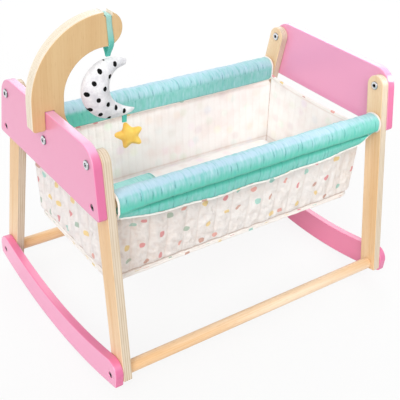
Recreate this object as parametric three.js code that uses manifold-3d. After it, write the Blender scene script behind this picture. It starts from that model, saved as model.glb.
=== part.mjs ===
// Doll cradle with a cloth basket on two padded rails, curved rockers and a crescent arm
// that carries a stuffed moon and star.
// Millimetres, +Z up, X along the cradle with the arm's end at -X, Y across it.
// The origin is on the floor, under the middle of the whole.
import * as THREE from 'three';
import { mergeVertices } from 'three/addons/utils/BufferGeometryUtils.js';
import Module from 'manifold-3d';

const wasm = await Module();
wasm.setup();

// Driving dimensions of the frame
const cradleLength = 500;
const seatGap = 0.3;
const panelThickness = 12;
const postThickness = 12.5;
const postWidth = 29.5;
const postLean = THREE.MathUtils.degToRad(10.14);
const topBoltHeight = 323.8;
const topBoltOut = 112.2;
const railDrop = 54.2;
const postTail = 9.5;

// End panels
const panelAboveBolt = 22.5;
const panelHeight = 89.3;
const panelMargin = 1.2;
const panelTopRound = 30;
const panelBottomRound = 5;
const panelEdge = 1.6;

// Rockers: two arcs about one centre above the cradle
const rockerRadius = 700;
const rockerDepth = 39.5;
const rockerScrewAboveSole = 15.6;
const rockerTipPastScrew = 17.2;
const rockerHeelPastScrew = 14.7;
const rockerTipRound = 19;
const rockerHeelRound = 3;
const rockerEdge = 1.4;
const rockerFacets = 15;

// Round rods
const stretcherRadius = 9;
const railRadius = 10;
const rodEdge = 0.8;

// Fasteners
const shankRadius = 3;
const capRadius = 6.2;
const capHeight = 1.9;
const capEdge = 0.8;
const socketRadius = 2.6;
const socketDepth = 1.4;
const nutSleeveRadius = 4.2;
const nutSleeveLength = 10.5;
const capBoltReach = 21;
const screwShankRadius = 2.5;
const screwHeadRadius = 4;
const screwHeadHeight = 3.2;
const screwSink = 0.8;
const screwReach = 38;
const screwSocketRadius = 2;
const screwSocketDepth = 1.8;
const insertRadius = 4.6;
const insertLength = 13;
const insertBoreSpare = 8;
const armBoltDrop = 41.8;
const armBoltReach = 34;
const barrelRadius = 5;
const barrelInset = 14;

// Crescent arm
const armThickness = 17.2;
const armRise = 113.7;
const armOverhang = 18;
const armOuterRadius = 101;
const armWidth = 44;
const armSpan = 127;
const armFlareDrop = 18.3;
const armFlareRadius = 38;
const armFootStep = 19;
const armFootRound = 8;
const armFootDrop = 58.3;
const armFootCorner = 5;
const armToeDrop = 25.3;
const armToeRound = 5;
const armEdge = 1.2;
const slotMouthRound = 2.4;
const notchFromTip = 20;
const notchWidth = 12;
const notchDepth = 5.5;

// Rail sleeves and their flaps
const sleeveEndSpace = 4.2;
const sleeveBoreRadius = railRadius + seatGap;
const sleeveCloth = 2.8;
const sleevePuff = 2.9;
const sleeveFlapDrop = 37;
const sleeveFlapRise = 14;
const sleeveInnerDrop = 22;
const flapCloth = 3;
const sleeveChinDrop = 12.9;
const sleeveCreaseIn = 5.6;
const sleeveSteps = 18;
const flapRipple = 1.3;
const flapRippleLength = 92;

// Cloth basket
const basketBottom = 131;
const endWallDrop = 6;
const wallFromRail = 4.4;
const basketSideRake = 14.3;
const basketEndRake = 7.5;
const wallCloth = 4.5;
const wallBillow = 3.5;
const endWallSag = 2;
const floorCloth = 3.5;
const boardThickness = 4;
const boardMargin = 1.5;
const cornerRound = 4;

// Mattress and pillow
const mattressThickness = 10;
const mattressMargin = 1.2;
const mattressRim = 5;
const mattressPull = 2;
const pillowLength = 130;
const pillowWidth = 168;
const pillowThickness = 13.5;
const pillowRim = 3.4;
const pillowPull = 5;
const pillowFromHead = 44.3;

// Hanging strap, moon and star
const strapWidth = 8;
const ribbonThickness = 1;
const strapJoinDrop = 16.4;
const moonReach = 60;
const moonFromNotch = 24;
const moonFatness = 0.62;
const starVertexRadius = 24.6;
const starWaistRadius = 13.2;
const starTipRound = 3.6;
const starWaistRound = 5;
const starHalfThickness = 6.5;
const starTurn = THREE.MathUtils.degToRad(-29.5);
const starTilt = THREE.MathUtils.degToRad(18.3);
const tabWidth = 7;
const tabLength = 11.2;
const tabFromMoon = 4.5;

// Shared round-section counts
const rodSides = 18;
const boltSides = 12;
const holeSides = 12;
const hexSides = 6;
const cutOverrun = 2;
const pointSpacing = 0.01;

// Finishes
const finish = (color, roughness, metalness = 0) =>
  new THREE.MeshStandardMaterial({ color, roughness, metalness });
const pinkPaint = finish(0xf3a8cb, 0.32);
const beech = finish(0xecc594, 0.55);
const plywood = finish(0xe3bd8a, 0.5);
const chrome = finish(0xdfe3e8, 0.15, 1);
const darkSteel = finish(0x4a4a50, 0.4, 1);
const turquoiseCloth = finish(0x76cfc4, 0.75);
const confettiCloth = finish(0xf4ebe4, 0.85);
const whiteCloth = finish(0xfaf8f4, 0.9);
const boardBrown = finish(0xb89a72, 0.8);
const ribbonTeal = finish(0x4fc3b0, 0.6);
const moonCloth = finish(0xf2f2f2, 0.9);
const starCloth = finish(0xf5c75b, 0.85);

// Solid tools
function merged(geometry) {
  const bare = geometry.clone();
  bare.deleteAttribute('normal');
  bare.deleteAttribute('uv');
  return mergeVertices(bare, 1e-4);
}

function outward(geometry) {
  const solid = merged(geometry);
  const p = solid.attributes.position;
  const index = solid.index.array;
  const [a, b, c] = [new THREE.Vector3(), new THREE.Vector3(), new THREE.Vector3()];
  let volume = 0;
  for (let i = 0; i < index.length; i += 3) {
    a.fromBufferAttribute(p, index[i]);
    b.fromBufferAttribute(p, index[i + 1]);
    c.fromBufferAttribute(p, index[i + 2]);
    volume += a.dot(b.cross(c));
  }
  if (volume < 0) {
    for (let i = 0; i < index.length; i += 3) {
      [index[i], index[i + 1]] = [index[i + 1], index[i]];
    }
  }
  return solid;
}

function toManifold(geometry) {
  const solid = outward(geometry);
  return new wasm.Manifold(new wasm.Mesh({
    numProp: 3,
    vertProperties: new Float32Array(solid.attributes.position.array),
    triVerts: new Uint32Array(solid.index.array),
  }));
}

function cut(geometry, ...cutters) {
  let body = toManifold(geometry);
  for (const cutter of cutters) body = body.subtract(toManifold(cutter));
  const mesh = body.getMesh();
  const result = new THREE.BufferGeometry();
  result.setAttribute('position', new THREE.BufferAttribute(mesh.vertProperties, 3));
  result.setIndex(new THREE.BufferAttribute(mesh.triVerts, 1));
  return result;
}

// A round piece along +X, from its outline [x, radius]
function turned(outline, sides) {
  const points = outline.map(([x, radius]) => new THREE.Vector2(radius, x));
  return new THREE.LatheGeometry(points, sides).rotateZ(-Math.PI / 2);
}

function pinAlongX(radius, from, to, sides = holeSides) {
  return turned([[from, 0], [from, radius], [to, radius], [to, 0]], sides);
}

// A closed outline from corners [u, v, radius]
function rounded(corners, arcStep = Math.PI / 10) {
  const points = [];
  corners.forEach(([u, v, radius], i) => {
    const here = new THREE.Vector2(u, v);
    const before = corners.at(i - 1);
    const after = corners[(i + 1) % corners.length];
    const back = new THREE.Vector2(before[0], before[1]).sub(here).normalize();
    const ahead = new THREE.Vector2(after[0], after[1]).sub(here).normalize();
    if (radius === 0) {
      points.push(here);
      return;
    }
    const half = Math.acos(THREE.MathUtils.clamp(back.dot(ahead), -1, 1)) / 2;
    const start = here.clone().addScaledVector(back, radius / Math.tan(half));
    const bisector = back.clone().add(ahead).normalize();
    const centre = here.clone().addScaledVector(bisector, radius / Math.sin(half));
    const turn = Math.PI - 2 * half;
    const sense = Math.sign(back.cross(ahead));
    const steps = Math.max(1, Math.round(turn / arcStep));
    const spoke = start.sub(centre);
    for (let k = 0; k <= steps; k += 1) {
      const arm = spoke.clone().rotateAround(new THREE.Vector2(), -sense * turn * k / steps);
      points.push(centre.clone().add(arm));
    }
  });
  // two arcs that meet give the same point twice
  return points.filter((point, i) => point.distanceTo(points.at(i - 1)) > pointSpacing);
}

// A board from its outline, with eased edges, centred on its own thickness
function board(points, thickness, edge) {
  const geometry = new THREE.ExtrudeGeometry(new THREE.Shape(points), {
    depth: thickness - 2 * edge,
    bevelEnabled: true,
    bevelThickness: edge,
    bevelSize: edge,
    bevelOffset: -edge,
    bevelSegments: 1,
  });
  return geometry.translate(0, 0, edge - thickness / 2);
}

// Outline axes (u, v) to (Y, Z), thickness along X
const facingX = new THREE.Matrix4().makeBasis(
  new THREE.Vector3(0, 1, 0), new THREE.Vector3(0, 0, 1), new THREE.Vector3(1, 0, 0));
// Outline axes (u, v) to (X, Z), thickness along Y
const facingY = new THREE.Matrix4().makeBasis(
  new THREE.Vector3(1, 0, 0), new THREE.Vector3(0, 0, 1), new THREE.Vector3(0, -1, 0));

function piece(name, geometry, material, place = [0, 0, 0]) {
  const mesh = new THREE.Mesh(outward(geometry), material);
  mesh.name = name;
  mesh.position.set(...place);
  return mesh;
}

// Places that several pieces share
const panelOuter = cradleLength / 2;
const panelInner = panelOuter - panelThickness;
const panelMiddle = panelOuter - panelThickness / 2;
const panelTop = topBoltHeight + panelAboveBolt;
const panelBottom = panelTop - panelHeight;
const postOuter = panelInner - seatGap;
const postInner = postOuter - postThickness;
const postMiddle = postOuter - postThickness / 2;
const rodHalfLength = postInner - seatGap;
const sleeveHalfLength = postInner - sleeveEndSpace;
const armOuterX = -panelOuter - armOverhang;
const armTipX = armOuterX + armSpan;
const notchX = armTipX - notchFromTip;
const armTop = panelTop + armRise;
const armBoltHeight = panelTop - armBoltDrop;

// A point on the post's centre line, measured down the post from its top bolt
function alongPost(distance) {
  return {
    out: topBoltOut + distance * Math.sin(postLean),
    height: topBoltHeight - distance * Math.cos(postLean),
  };
}
const railPlace = alongPost(railDrop);

// The stretcher's screw sits where the post crosses an arc inside the rocker
const screwArc = rockerRadius - rockerScrewAboveSole;
const arcDrop = rockerRadius - topBoltHeight;
const postRun = topBoltOut * Math.sin(postLean) + arcDrop * Math.cos(postLean);
const stretcherDrop = Math.sqrt(postRun ** 2 - topBoltOut ** 2 - arcDrop ** 2 + screwArc ** 2)
  - postRun;
const stretcherPlace = alongPost(stretcherDrop);
const rockerHalfSpan = stretcherPlace.out + rockerTipPastScrew;
const rockerHeelOut = stretcherPlace.out + rockerHeelPastScrew;

// End panel
function panelGeometry(withArmBolt) {
  const sideOffset = (postWidth / 2 + panelMargin) / Math.cos(postLean);
  const sideOut = (height) =>
    topBoltOut + (topBoltHeight - height) * Math.tan(postLean) + sideOffset;
  const outline = rounded([
    [-sideOut(panelBottom), panelBottom, panelBottomRound],
    [sideOut(panelBottom), panelBottom, panelBottomRound],
    [sideOut(panelTop), panelTop, panelTopRound],
    [-sideOut(panelTop), panelTop, panelTopRound],
  ]);
  const blank = board(outline, panelThickness, panelEdge).applyMatrix4(facingX);
  const half = panelThickness / 2;
  const through = half + cutOverrun;
  const cutters = [];
  for (const side of [-1, 1]) {
    cutters.push(pinAlongX(shankRadius + seatGap, -through, through)
      .translate(0, side * topBoltOut, topBoltHeight));
    cutters.push(screwSeat(half, -half).translate(0, side * railPlace.out, railPlace.height));
  }
  if (withArmBolt) {
    cutters.push(pinAlongX(shankRadius + seatGap, -through, through)
      .translate(0, 0, armBoltHeight));
  }
  return cut(blank, ...cutters);
}

// Stepped hole for a recessed screw whose head sits at the -X face
function screwSeat(farFace, nearFace) {
  const shoulder = nearFace + screwSink + screwHeadHeight + seatGap;
  return turned([
    [nearFace - cutOverrun, 0],
    [nearFace - cutOverrun, screwHeadRadius + seatGap],
    [shoulder, screwHeadRadius + seatGap],
    [shoulder, screwShankRadius + seatGap],
    [farFace + cutOverrun, screwShankRadius + seatGap],
    [farFace + cutOverrun, 0],
  ], holeSides);
}

// Post, in its own frame with the top bolt at the origin and its length down -Z
function postGeometry() {
  const half = postWidth / 2;
  const foot = stretcherDrop + postTail;
  const outline = rounded([
    [-half, -foot, panelEdge], [half, -foot, panelEdge], [half, half, half], [-half, half, half],
  ], Math.PI / 8);
  const blank = board(outline, postThickness, rodEdge).applyMatrix4(facingX);
  const through = postThickness / 2 + cutOverrun;
  const nutFrom = postThickness / 2 - nutSleeveLength - seatGap;
  return cut(
    blank,
    pinAlongX(shankRadius + seatGap, -through, through),
    pinAlongX(nutSleeveRadius + seatGap, nutFrom, through),
    pinAlongX(screwShankRadius + seatGap, -through, through).translate(0, 0, -railDrop),
    pinAlongX(screwShankRadius + seatGap, -through, through).translate(0, 0, -stretcherDrop),
  );
}

// Rocker: the sole is cut in flats that touch its arc, so it rests on the middle one
function rockerGeometry() {
  const points = [];
  const heelAngle = Math.asin(rockerHeelOut / rockerRadius);
  const step = 2 * heelAngle / rockerFacets;
  const soleRadius = rockerRadius / Math.cos(step / 2);
  for (let i = 0; i <= rockerFacets; i += 1) {
    const angle = -heelAngle + i * step;
    points.push([soleRadius * Math.sin(angle), rockerRadius - soleRadius * Math.cos(angle), 0]);
  }
  points[0][2] = rockerHeelRound;
  points.at(-1)[2] = rockerHeelRound;
  const topRadius = rockerRadius - rockerDepth;
  const tipAngle = Math.asin(rockerHalfSpan / topRadius);
  const tipHeight = rockerRadius - topRadius * Math.cos(tipAngle);
  const topStep = 2 * tipAngle / (rockerFacets - 3);
  points.push([rockerHalfSpan, tipHeight, rockerTipRound]);
  for (let i = 1; i < rockerFacets - 3; i += 1) {
    const angle = tipAngle - i * topStep;
    points.push([topRadius * Math.sin(angle), rockerRadius - topRadius * Math.cos(angle), 0]);
  }
  points.push([-rockerHalfSpan, tipHeight, rockerTipRound]);
  const blank = board(rounded(points, Math.PI / 9), panelThickness, rockerEdge)
    .applyMatrix4(facingX);
  const half = panelThickness / 2;
  const cutters = [-1, 1].map((side) => screwSeat(half, -half)
    .translate(0, side * stretcherPlace.out, stretcherPlace.height));
  return cut(blank, ...cutters);
}

// Rod with a blind bore at each end for its insert nut
function rodGeometry(radius) {
  const bore = insertRadius + seatGap;
  const boreFloor = rodHalfLength - insertLength - insertBoreSpare;
  return turned([
    [-boreFloor, 0], [-boreFloor, bore], [-rodHalfLength, bore],
    [-rodHalfLength, radius - rodEdge], [-rodHalfLength + rodEdge, radius],
    [rodHalfLength - rodEdge, radius], [rodHalfLength, radius - rodEdge],
    [rodHalfLength, bore], [boreFloor, bore], [boreFloor, 0],
  ], rodSides);
}

function insertGeometry() {
  const bore = screwShankRadius + seatGap;
  return turned([
    [0, bore], [0, insertRadius], [insertLength, insertRadius], [insertLength, bore], [0, bore],
  ], boltSides);
}

// Fasteners point along +X from their seat at x = 0
function socketCutter(radius, depth) {
  return pinAlongX(radius, -depth, cutOverrun, hexSides);
}

function capBoltGeometry(reach) {
  const blank = turned([
    [-capHeight, 0], [-capHeight, capRadius - capEdge], [-capHeight + capEdge, capRadius],
    [0, capRadius], [0, shankRadius], [reach - capEdge, shankRadius],
    [reach, shankRadius - capEdge], [reach, 0],
  ], boltSides);
  return cut(blank, socketCutter(socketRadius, socketDepth)
    .rotateZ(Math.PI).translate(-capHeight, 0, 0));
}

function capNutGeometry() {
  const bore = shankRadius + seatGap;
  const blank = turned([
    [-capHeight, 0], [-capHeight, capRadius - capEdge], [-capHeight + capEdge, capRadius],
    [0, capRadius], [0, nutSleeveRadius], [nutSleeveLength, nutSleeveRadius],
    [nutSleeveLength, bore], [seatGap, bore], [seatGap, 0],
  ], boltSides);
  return cut(blank, socketCutter(socketRadius, socketDepth)
    .rotateZ(Math.PI).translate(-capHeight, 0, 0));
}

function screwGeometry() {
  const blank = turned([
    [0, 0], [0, screwHeadRadius], [screwHeadHeight, screwHeadRadius],
    [screwHeadHeight, screwShankRadius], [screwReach, screwShankRadius], [screwReach, 0],
  ], boltSides);
  return cut(blank, socketCutter(screwSocketRadius, screwSocketDepth).rotateZ(Math.PI));
}

// One end of the frame, built as the left end: outer faces at -X
function endFrame(end) {
  const group = new THREE.Group();
  const isLeft = end === 'left';
  group.add(piece(`${end}_panel`, panelGeometry(isLeft), pinkPaint, [-panelMiddle, 0, 0]));
  group.add(piece(`${end}_rocker`, rockerGeometry(), pinkPaint, [-panelMiddle, 0, 0]));
  for (const side of [-1, 1]) {
    // the right end is this group turned half round, so its near side is +Y here
    const isNear = (side === -1) === isLeft;
    const where = `${end}_${isNear ? 'near' : 'far'}`;
    const post = piece(`${where}_post`, postGeometry(), beech,
      [-postMiddle, side * topBoltOut, topBoltHeight]);
    post.rotation.x = side * postLean;
    group.add(post);
    group.add(piece(`${where}_cap_bolt`, capBoltGeometry(capBoltReach), chrome,
      [-panelOuter - seatGap, side * topBoltOut, topBoltHeight]));
    const nut = piece(`${where}_cap_nut`, capNutGeometry(), chrome,
      [-postInner + seatGap, side * topBoltOut, topBoltHeight]);
    nut.rotation.z = Math.PI;
    group.add(nut);
    for (const [use, place] of [['rail', railPlace], ['rocker', stretcherPlace]]) {
      group.add(piece(`${where}_${use}_screw`, screwGeometry(), darkSteel,
        [-panelOuter + screwSink, side * place.out, place.height]));
      group.add(piece(`${where}_${use}_insert`, insertGeometry(), darkSteel,
        [-rodHalfLength + seatGap, side * place.out, place.height]));
    }
  }
  group.rotation.z = isLeft ? 0 : Math.PI;
  return group;
}

// Crescent arm: one board cut to a hook, with a slot that straddles the panel
function armGeometry() {
  const slotOuter = -panelOuter - seatGap;
  const slotInner = -panelInner + seatGap;
  const innerX = armOuterX + armWidth;
  const footX = innerX + armFootStep;
  const innerTop = armTop - armWidth;
  const tipRound = armWidth / 2;
  const flareHeight = panelTop - armFlareDrop;
  const footBottom = panelTop - armFootDrop;
  const toeBottom = panelTop - armToeDrop;
  // the flare turns the edge by 45 degrees, and the big curve fits between it and the tip
  const flareStart = flareHeight + armFlareRadius * Math.tan(Math.PI / 8);
  const curve = Math.min(armOuterRadius, armSpan - tipRound, armTop - flareStart);
  const outline = rounded([
    [armOuterX, toeBottom, armToeRound],
    [armOuterX, armTop, curve],
    [armTipX, armTop, tipRound],
    [armTipX, innerTop, tipRound],
    [innerX, innerTop, curve - armWidth],
    [innerX, flareHeight, armFlareRadius],
    [footX, flareHeight - armFootStep, armFootRound],
    [footX, footBottom, armFootCorner],
    [slotInner, footBottom, slotMouthRound],
    [slotInner, panelTop + seatGap, 0],
    [slotOuter, panelTop + seatGap, 0],
    [slotOuter, toeBottom, slotMouthRound],
  ], Math.PI / 18);
  const blank = board(outline, armThickness, armEdge).applyMatrix4(facingY);
  const notch = new THREE.BoxGeometry(notchWidth, armThickness + 2 * cutOverrun, 2 * notchDepth)
    .translate(notchX, 0, armTop);
  const boltHole = pinAlongX(shankRadius + seatGap, -panelInner - cutOverrun,
    -panelOuter + armBoltReach + cutOverrun).translate(0, 0, armBoltHeight);
  const barrelHole = barrelBlank(barrelRadius + seatGap, armThickness + 2 * cutOverrun)
    .translate(barrelX, 0, armBoltHeight);
  return cut(blank, notch, boltHole, barrelHole);
}
const barrelX = -panelInner + barrelInset;

function barrelBlank(radius, length) {
  return new THREE.CylinderGeometry(radius, radius, length, boltSides);
}

function barrelGeometry() {
  const bore = pinAlongX(shankRadius + seatGap, -barrelRadius - cutOverrun,
    barrelRadius + cutOverrun);
  return cut(barrelBlank(barrelRadius, armThickness - 2 * armEdge), bore);
}

// Sleeve section at +Y side, as corners about the rail's centre: ring, outer flap, inner flap
function sleeveGeometry() {
  const wrap = sleeveBoreRadius + sleeveCloth;
  const outerFace = wrap + sleevePuff;
  const ringTurn = Math.PI / 6;
  const outline = [];
  for (let angle = Math.PI; angle > ringTurn / 2; angle -= ringTurn) {
    const puff = Math.max(0, Math.cos(angle)) * sleevePuff;
    outline.push([(wrap + puff) * Math.cos(angle), wrap * Math.sin(angle)]);
  }
  const crease = outerFace - sleeveCreaseIn;
  const hem = crease + flapCloth / 4;
  outline.push([outerFace, 0], [outerFace, -sleeveChinDrop / 2]);
  outline.push([crease, -sleeveChinDrop], [hem, -sleeveFlapDrop]);
  outline.push([hem - flapCloth, -sleeveFlapDrop], [crease - flapCloth, -sleeveChinDrop]);
  outline.push([flapCloth - wrap, -sleeveChinDrop], [flapCloth - wrap, -sleeveInnerDrop]);
  outline.push([-wrap, -sleeveInnerDrop]);
  const shape = new THREE.Shape(outline.map(([u, v]) => new THREE.Vector2(u, v)));
  const bore = new THREE.Path();
  bore.absarc(0, 0, sleeveBoreRadius, 0, 2 * Math.PI, false);
  shape.holes.push(bore);
  const cloth = new THREE.ExtrudeGeometry(shape, {
    depth: 2 * sleeveHalfLength,
    steps: sleeveSteps,
    curveSegments: 7,
    bevelEnabled: false,
  }).applyMatrix4(facingX).translate(-sleeveHalfLength, 0, 0);
  // both flaps hang lowest in the middle and rise towards the posts, and the outer one ripples
  const p = cloth.attributes.position;
  for (let i = 0; i < p.count; i += 1) {
    const belowShare = (-p.getZ(i) - sleeveChinDrop) / (sleeveFlapDrop - sleeveChinDrop);
    if (belowShare > 0) {
      const endShare = Math.abs(p.getX(i)) / sleeveHalfLength;
      const ripple = flapRipple * belowShare * Math.sin(2 * Math.PI * p.getX(i) / flapRippleLength);
      p.setZ(i, p.getZ(i) + sleeveFlapRise * belowShare * endShare ** 3);
      if (p.getY(i) > 0) p.setY(i, p.getY(i) + ripple);
    }
  }
  return cloth;
}

// A closed skin from two grids of points, front(u, v) and back(u, v), with u and v from -1 to 1
function padded(front, back, columns, rows) {
  const vertices = [];
  const faces = [];
  const ids = new Map();
  const vertex = (key, point) => {
    if (!ids.has(key)) {
      ids.set(key, vertices.length / 3);
      vertices.push(...point);
    }
    return ids.get(key);
  };
  const grid = (side, surface) => {
    const at = (i, j) => vertex(`${side} ${i} ${j}`, surface(2 * i / columns - 1, 2 * j / rows - 1));
    return at;
  };
  const [f, b] = [grid('front', front), grid('back', back)];
  for (let i = 0; i < columns; i += 1) {
    for (let j = 0; j < rows; j += 1) {
      faces.push(f(i, j), f(i + 1, j), f(i + 1, j + 1), f(i, j), f(i + 1, j + 1), f(i, j + 1));
      faces.push(b(i, j), b(i + 1, j + 1), b(i + 1, j), b(i, j), b(i, j + 1), b(i + 1, j + 1));
    }
  }
  const rim = [];
  for (let i = 0; i < columns; i += 1) rim.push([i, 0]);
  for (let j = 0; j < rows; j += 1) rim.push([columns, j]);
  for (let i = columns; i > 0; i -= 1) rim.push([i, rows]);
  for (let j = rows; j > 0; j -= 1) rim.push([0, j]);
  rim.forEach((here, k) => {
    const next = rim[(k + 1) % rim.length];
    faces.push(f(...here), b(...here), b(...next), f(...here), b(...next), f(...next));
  });
  const geometry = new THREE.BufferGeometry();
  geometry.setAttribute('position', new THREE.Float32BufferAttribute(vertices, 3));
  geometry.setIndex(faces);
  return geometry;
}

// Outer half width and half length of the basket at a height
const wallFoot = basketBottom + floorCloth + seatGap;
const basketTop = railPlace.height - sleeveChinDrop - seatGap;
function basketHalf(height) {
  const dropShare = (basketTop - height) / (basketTop - basketBottom);
  return {
    width: railPlace.out - wallFromRail - dropShare * basketSideRake,
    length: sleeveHalfLength - dropShare * basketEndRake,
  };
}

// Cloth walls hang from corner to corner and swell outwards between the seams
function billow(u, v) {
  return wallBillow * Math.cos(u * Math.PI / 2) ** 2 * Math.cos(v * Math.PI / 2) ** 2;
}

function sideWallGeometry() {
  const at = (u, v, inset) => {
    const height = THREE.MathUtils.lerp(wallFoot, basketTop, (v + 1) / 2);
    const half = basketHalf(height);
    return [u * half.length, half.width + billow(u, v) - inset, height];
  };
  return padded((u, v) => at(u, v, 0), (u, v) => at(u, v, wallCloth), 12, 4);
}

function endWallGeometry() {
  const at = (u, v, inset) => {
    const top = basketTop - endWallDrop - endWallSag * Math.cos(u * Math.PI / 2);
    const height = THREE.MathUtils.lerp(wallFoot, top, (v + 1) / 2);
    const half = basketHalf(height);
    const across = half.width - wallCloth - seatGap;
    return [half.length + billow(u, v) - inset, u * across, height];
  };
  return padded((u, v) => at(u, v, 0), (u, v) => at(u, v, wallCloth), 8, 4);
}

function plate(halfLength, halfWidth, thickness) {
  const outline = rounded([
    [-halfLength, -halfWidth, cornerRound], [halfLength, -halfWidth, cornerRound],
    [halfLength, halfWidth, cornerRound], [-halfLength, halfWidth, cornerRound],
  ], Math.PI / 6);
  return new THREE.ExtrudeGeometry(new THREE.Shape(outline),
    { depth: thickness, bevelEnabled: false });
}

// A cushion that lies on its flat base: crowned top, sides drawn in between the corners
function cushion(length, width, thickness, rim, pull, columns, rows) {
  const plan = (u, v) => [
    (length / 2 - pull * (1 - v * v) * Math.abs(u)) * u,
    (width / 2 - pull * (1 - u * u) * Math.abs(v)) * v,
  ];
  const swell = (u, v) => Math.sqrt((1 - u ** 6) * (1 - v ** 6));
  return padded(
    (u, v) => [...plan(u, v), rim + (thickness - rim) * swell(u, v)],
    (u, v) => [...plan(u, v), rim / 2 * (1 - Math.sqrt(swell(u, v)))],
    columns, rows);
}

// Stuffed crescent: oval sections that fan out from a point in the crescent's hollow
// Each row is the section's angle as a share of a full turn, then its inner and outer
// distances from that point as shares of the moon's reach.
const moonSectionShares = [
  [0.222, 0.568, 0.588], [0.265, 0.492, 0.660], [0.308, 0.425, 0.738], [0.351, 0.372, 0.820],
  [0.394, 0.335, 0.892], [0.438, 0.311, 0.950], [0.481, 0.297, 0.983], [0.524, 0.295, 0.990],
  [0.567, 0.303, 0.968], [0.610, 0.322, 0.922], [0.653, 0.353, 0.862], [0.696, 0.400, 0.800],
  [0.738, 0.475, 0.757], [0.780, 0.600, 0.748], [0.815, 0.722, 0.757],
];
const moonRiseShare = 0.690;
const moonDropShare = 0.745;
function moonGeometry() {
  const sides = 12;
  const vertices = [];
  const faces = [];
  for (const [turnShare, innerShare, outerShare] of moonSectionShares) {
    const angle = 2 * Math.PI * turnShare;
    const centre = moonReach * (innerShare + outerShare) / 2;
    const half = moonReach * (outerShare - innerShare) / 2;
    for (let k = 0; k < sides; k += 1) {
      const around = 2 * Math.PI * k / sides;
      const reach = centre + half * Math.cos(around);
      vertices.push(reach * Math.cos(angle), half * moonFatness * Math.sin(around),
        reach * Math.sin(angle));
    }
  }
  const ring = (i, k) => i * sides + k % sides;
  const last = moonSectionShares.length - 1;
  for (let i = 0; i < last; i += 1) {
    for (let k = 0; k < sides; k += 1) {
      faces.push(ring(i, k), ring(i + 1, k), ring(i + 1, k + 1));
      faces.push(ring(i, k), ring(i + 1, k + 1), ring(i, k + 1));
    }
  }
  for (let k = 1; k + 1 < sides; k += 1) {
    faces.push(ring(0, 0), ring(0, k), ring(0, k + 1));
    faces.push(ring(last, 0), ring(last, k + 1), ring(last, k));
  }
  const geometry = new THREE.BufferGeometry();
  geometry.setAttribute('position', new THREE.Float32BufferAttribute(vertices, 3));
  geometry.setIndex(faces);
  return geometry;
}

// Stuffed star in the XZ plane, hanging from its top point and swelling to the middle
function starGeometry() {
  const corners = [];
  for (let k = 0; k < 10; k += 1) {
    const isTip = k % 2 === 0;
    const radius = isTip ? starVertexRadius : starWaistRadius;
    const angle = Math.PI / 2 + k * Math.PI / 5;
    corners.push([radius * Math.cos(angle), radius * Math.sin(angle),
      isTip ? starTipRound : starWaistRound]);
  }
  const outline = rounded(corners, Math.PI / 3);
  const reach = Math.max(...outline.map((point) => point.length()));
  const ringShares = [1, 0.86, 0.62, 0.34];
  const vertices = [];
  const faces = [];
  const count = outline.length;
  const lift = (share) => starHalfThickness * Math.sqrt(1 - share ** 3);
  for (const face of [-1, 1]) {
    for (const share of ringShares) {
      for (const point of outline) {
        vertices.push(point.x * share, face * lift(share), point.y * share);
      }
    }
    vertices.push(0, face * starHalfThickness, 0);
  }
  const perFace = ringShares.length * count + 1;
  for (const face of [0, 1]) {
    const id = (ring, k) => face * perFace + ring * count + k % count;
    const add = (a, b, c) => (face ? faces.push(a, c, b) : faces.push(a, b, c));
    for (let ring = 0; ring + 1 < ringShares.length; ring += 1) {
      for (let k = 0; k < count; k += 1) {
        add(id(ring, k), id(ring, k + 1), id(ring + 1, k + 1));
        add(id(ring, k), id(ring + 1, k + 1), id(ring + 1, k));
      }
    }
    const middle = face * perFace + perFace - 1;
    for (let k = 0; k < count; k += 1) {
      add(id(ringShares.length - 1, k), id(ringShares.length - 1, k + 1), middle);
    }
  }
  const geometry = new THREE.BufferGeometry();
  geometry.setAttribute('position', new THREE.Float32BufferAttribute(vertices, 3));
  geometry.setIndex(faces);
  return geometry.translate(0, 0, -reach);
}

// Ribbon loop over the arm's notch: both layers meet below the arm at the moon's top seam
function strapGeometry() {
  const inHalf = armThickness / 2 + seatGap;
  const outHalf = inHalf + ribbonThickness;
  const over = armTop - notchDepth + seatGap;
  const under = armTop - armWidth - seatGap;
  const outline = rounded([
    [-outHalf, under, 0], [0 - ribbonThickness, strapEnd, 0], [ribbonThickness, strapEnd, 0],
    [outHalf, under, 0], [outHalf, over + ribbonThickness, ribbonThickness],
    [-outHalf, over + ribbonThickness, ribbonThickness],
  ]);
  const shape = new THREE.Shape(outline);
  const meet = strapEnd + ribbonThickness * 2;
  shape.holes.push(new THREE.Path([
    new THREE.Vector2(-inHalf, under), new THREE.Vector2(-inHalf, over),
    new THREE.Vector2(inHalf, over), new THREE.Vector2(inHalf, under), new THREE.Vector2(0, meet),
  ]));
  return new THREE.ExtrudeGeometry(shape, { depth: strapWidth, bevelEnabled: false })
    .applyMatrix4(facingX).translate(notchX - strapWidth / 2, 0, 0);
}

// Short ribbon folded over at its top, with the fold's round about the line that the star swings on
function tabGeometry() {
  const outline = rounded([
    [-ribbonThickness, -tabLength, 0], [ribbonThickness, -tabLength, 0],
    [ribbonThickness, 0, ribbonThickness], [-ribbonThickness, 0, ribbonThickness],
  ], Math.PI / 6);
  return new THREE.ExtrudeGeometry(new THREE.Shape(outline),
    { depth: tabWidth, bevelEnabled: false }).applyMatrix4(facingX).translate(-tabWidth / 2, 0, 0);
}
const strapEnd = armTop - armWidth - strapJoinDrop;
const moonFocusX = notchX + moonFromNotch;
const tabX = moonFocusX + tabFromMoon;
const moonFocusHeight = strapEnd - seatGap - moonRiseShare * moonReach;
const moonBottom = moonFocusHeight - moonDropShare * moonReach;

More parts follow.
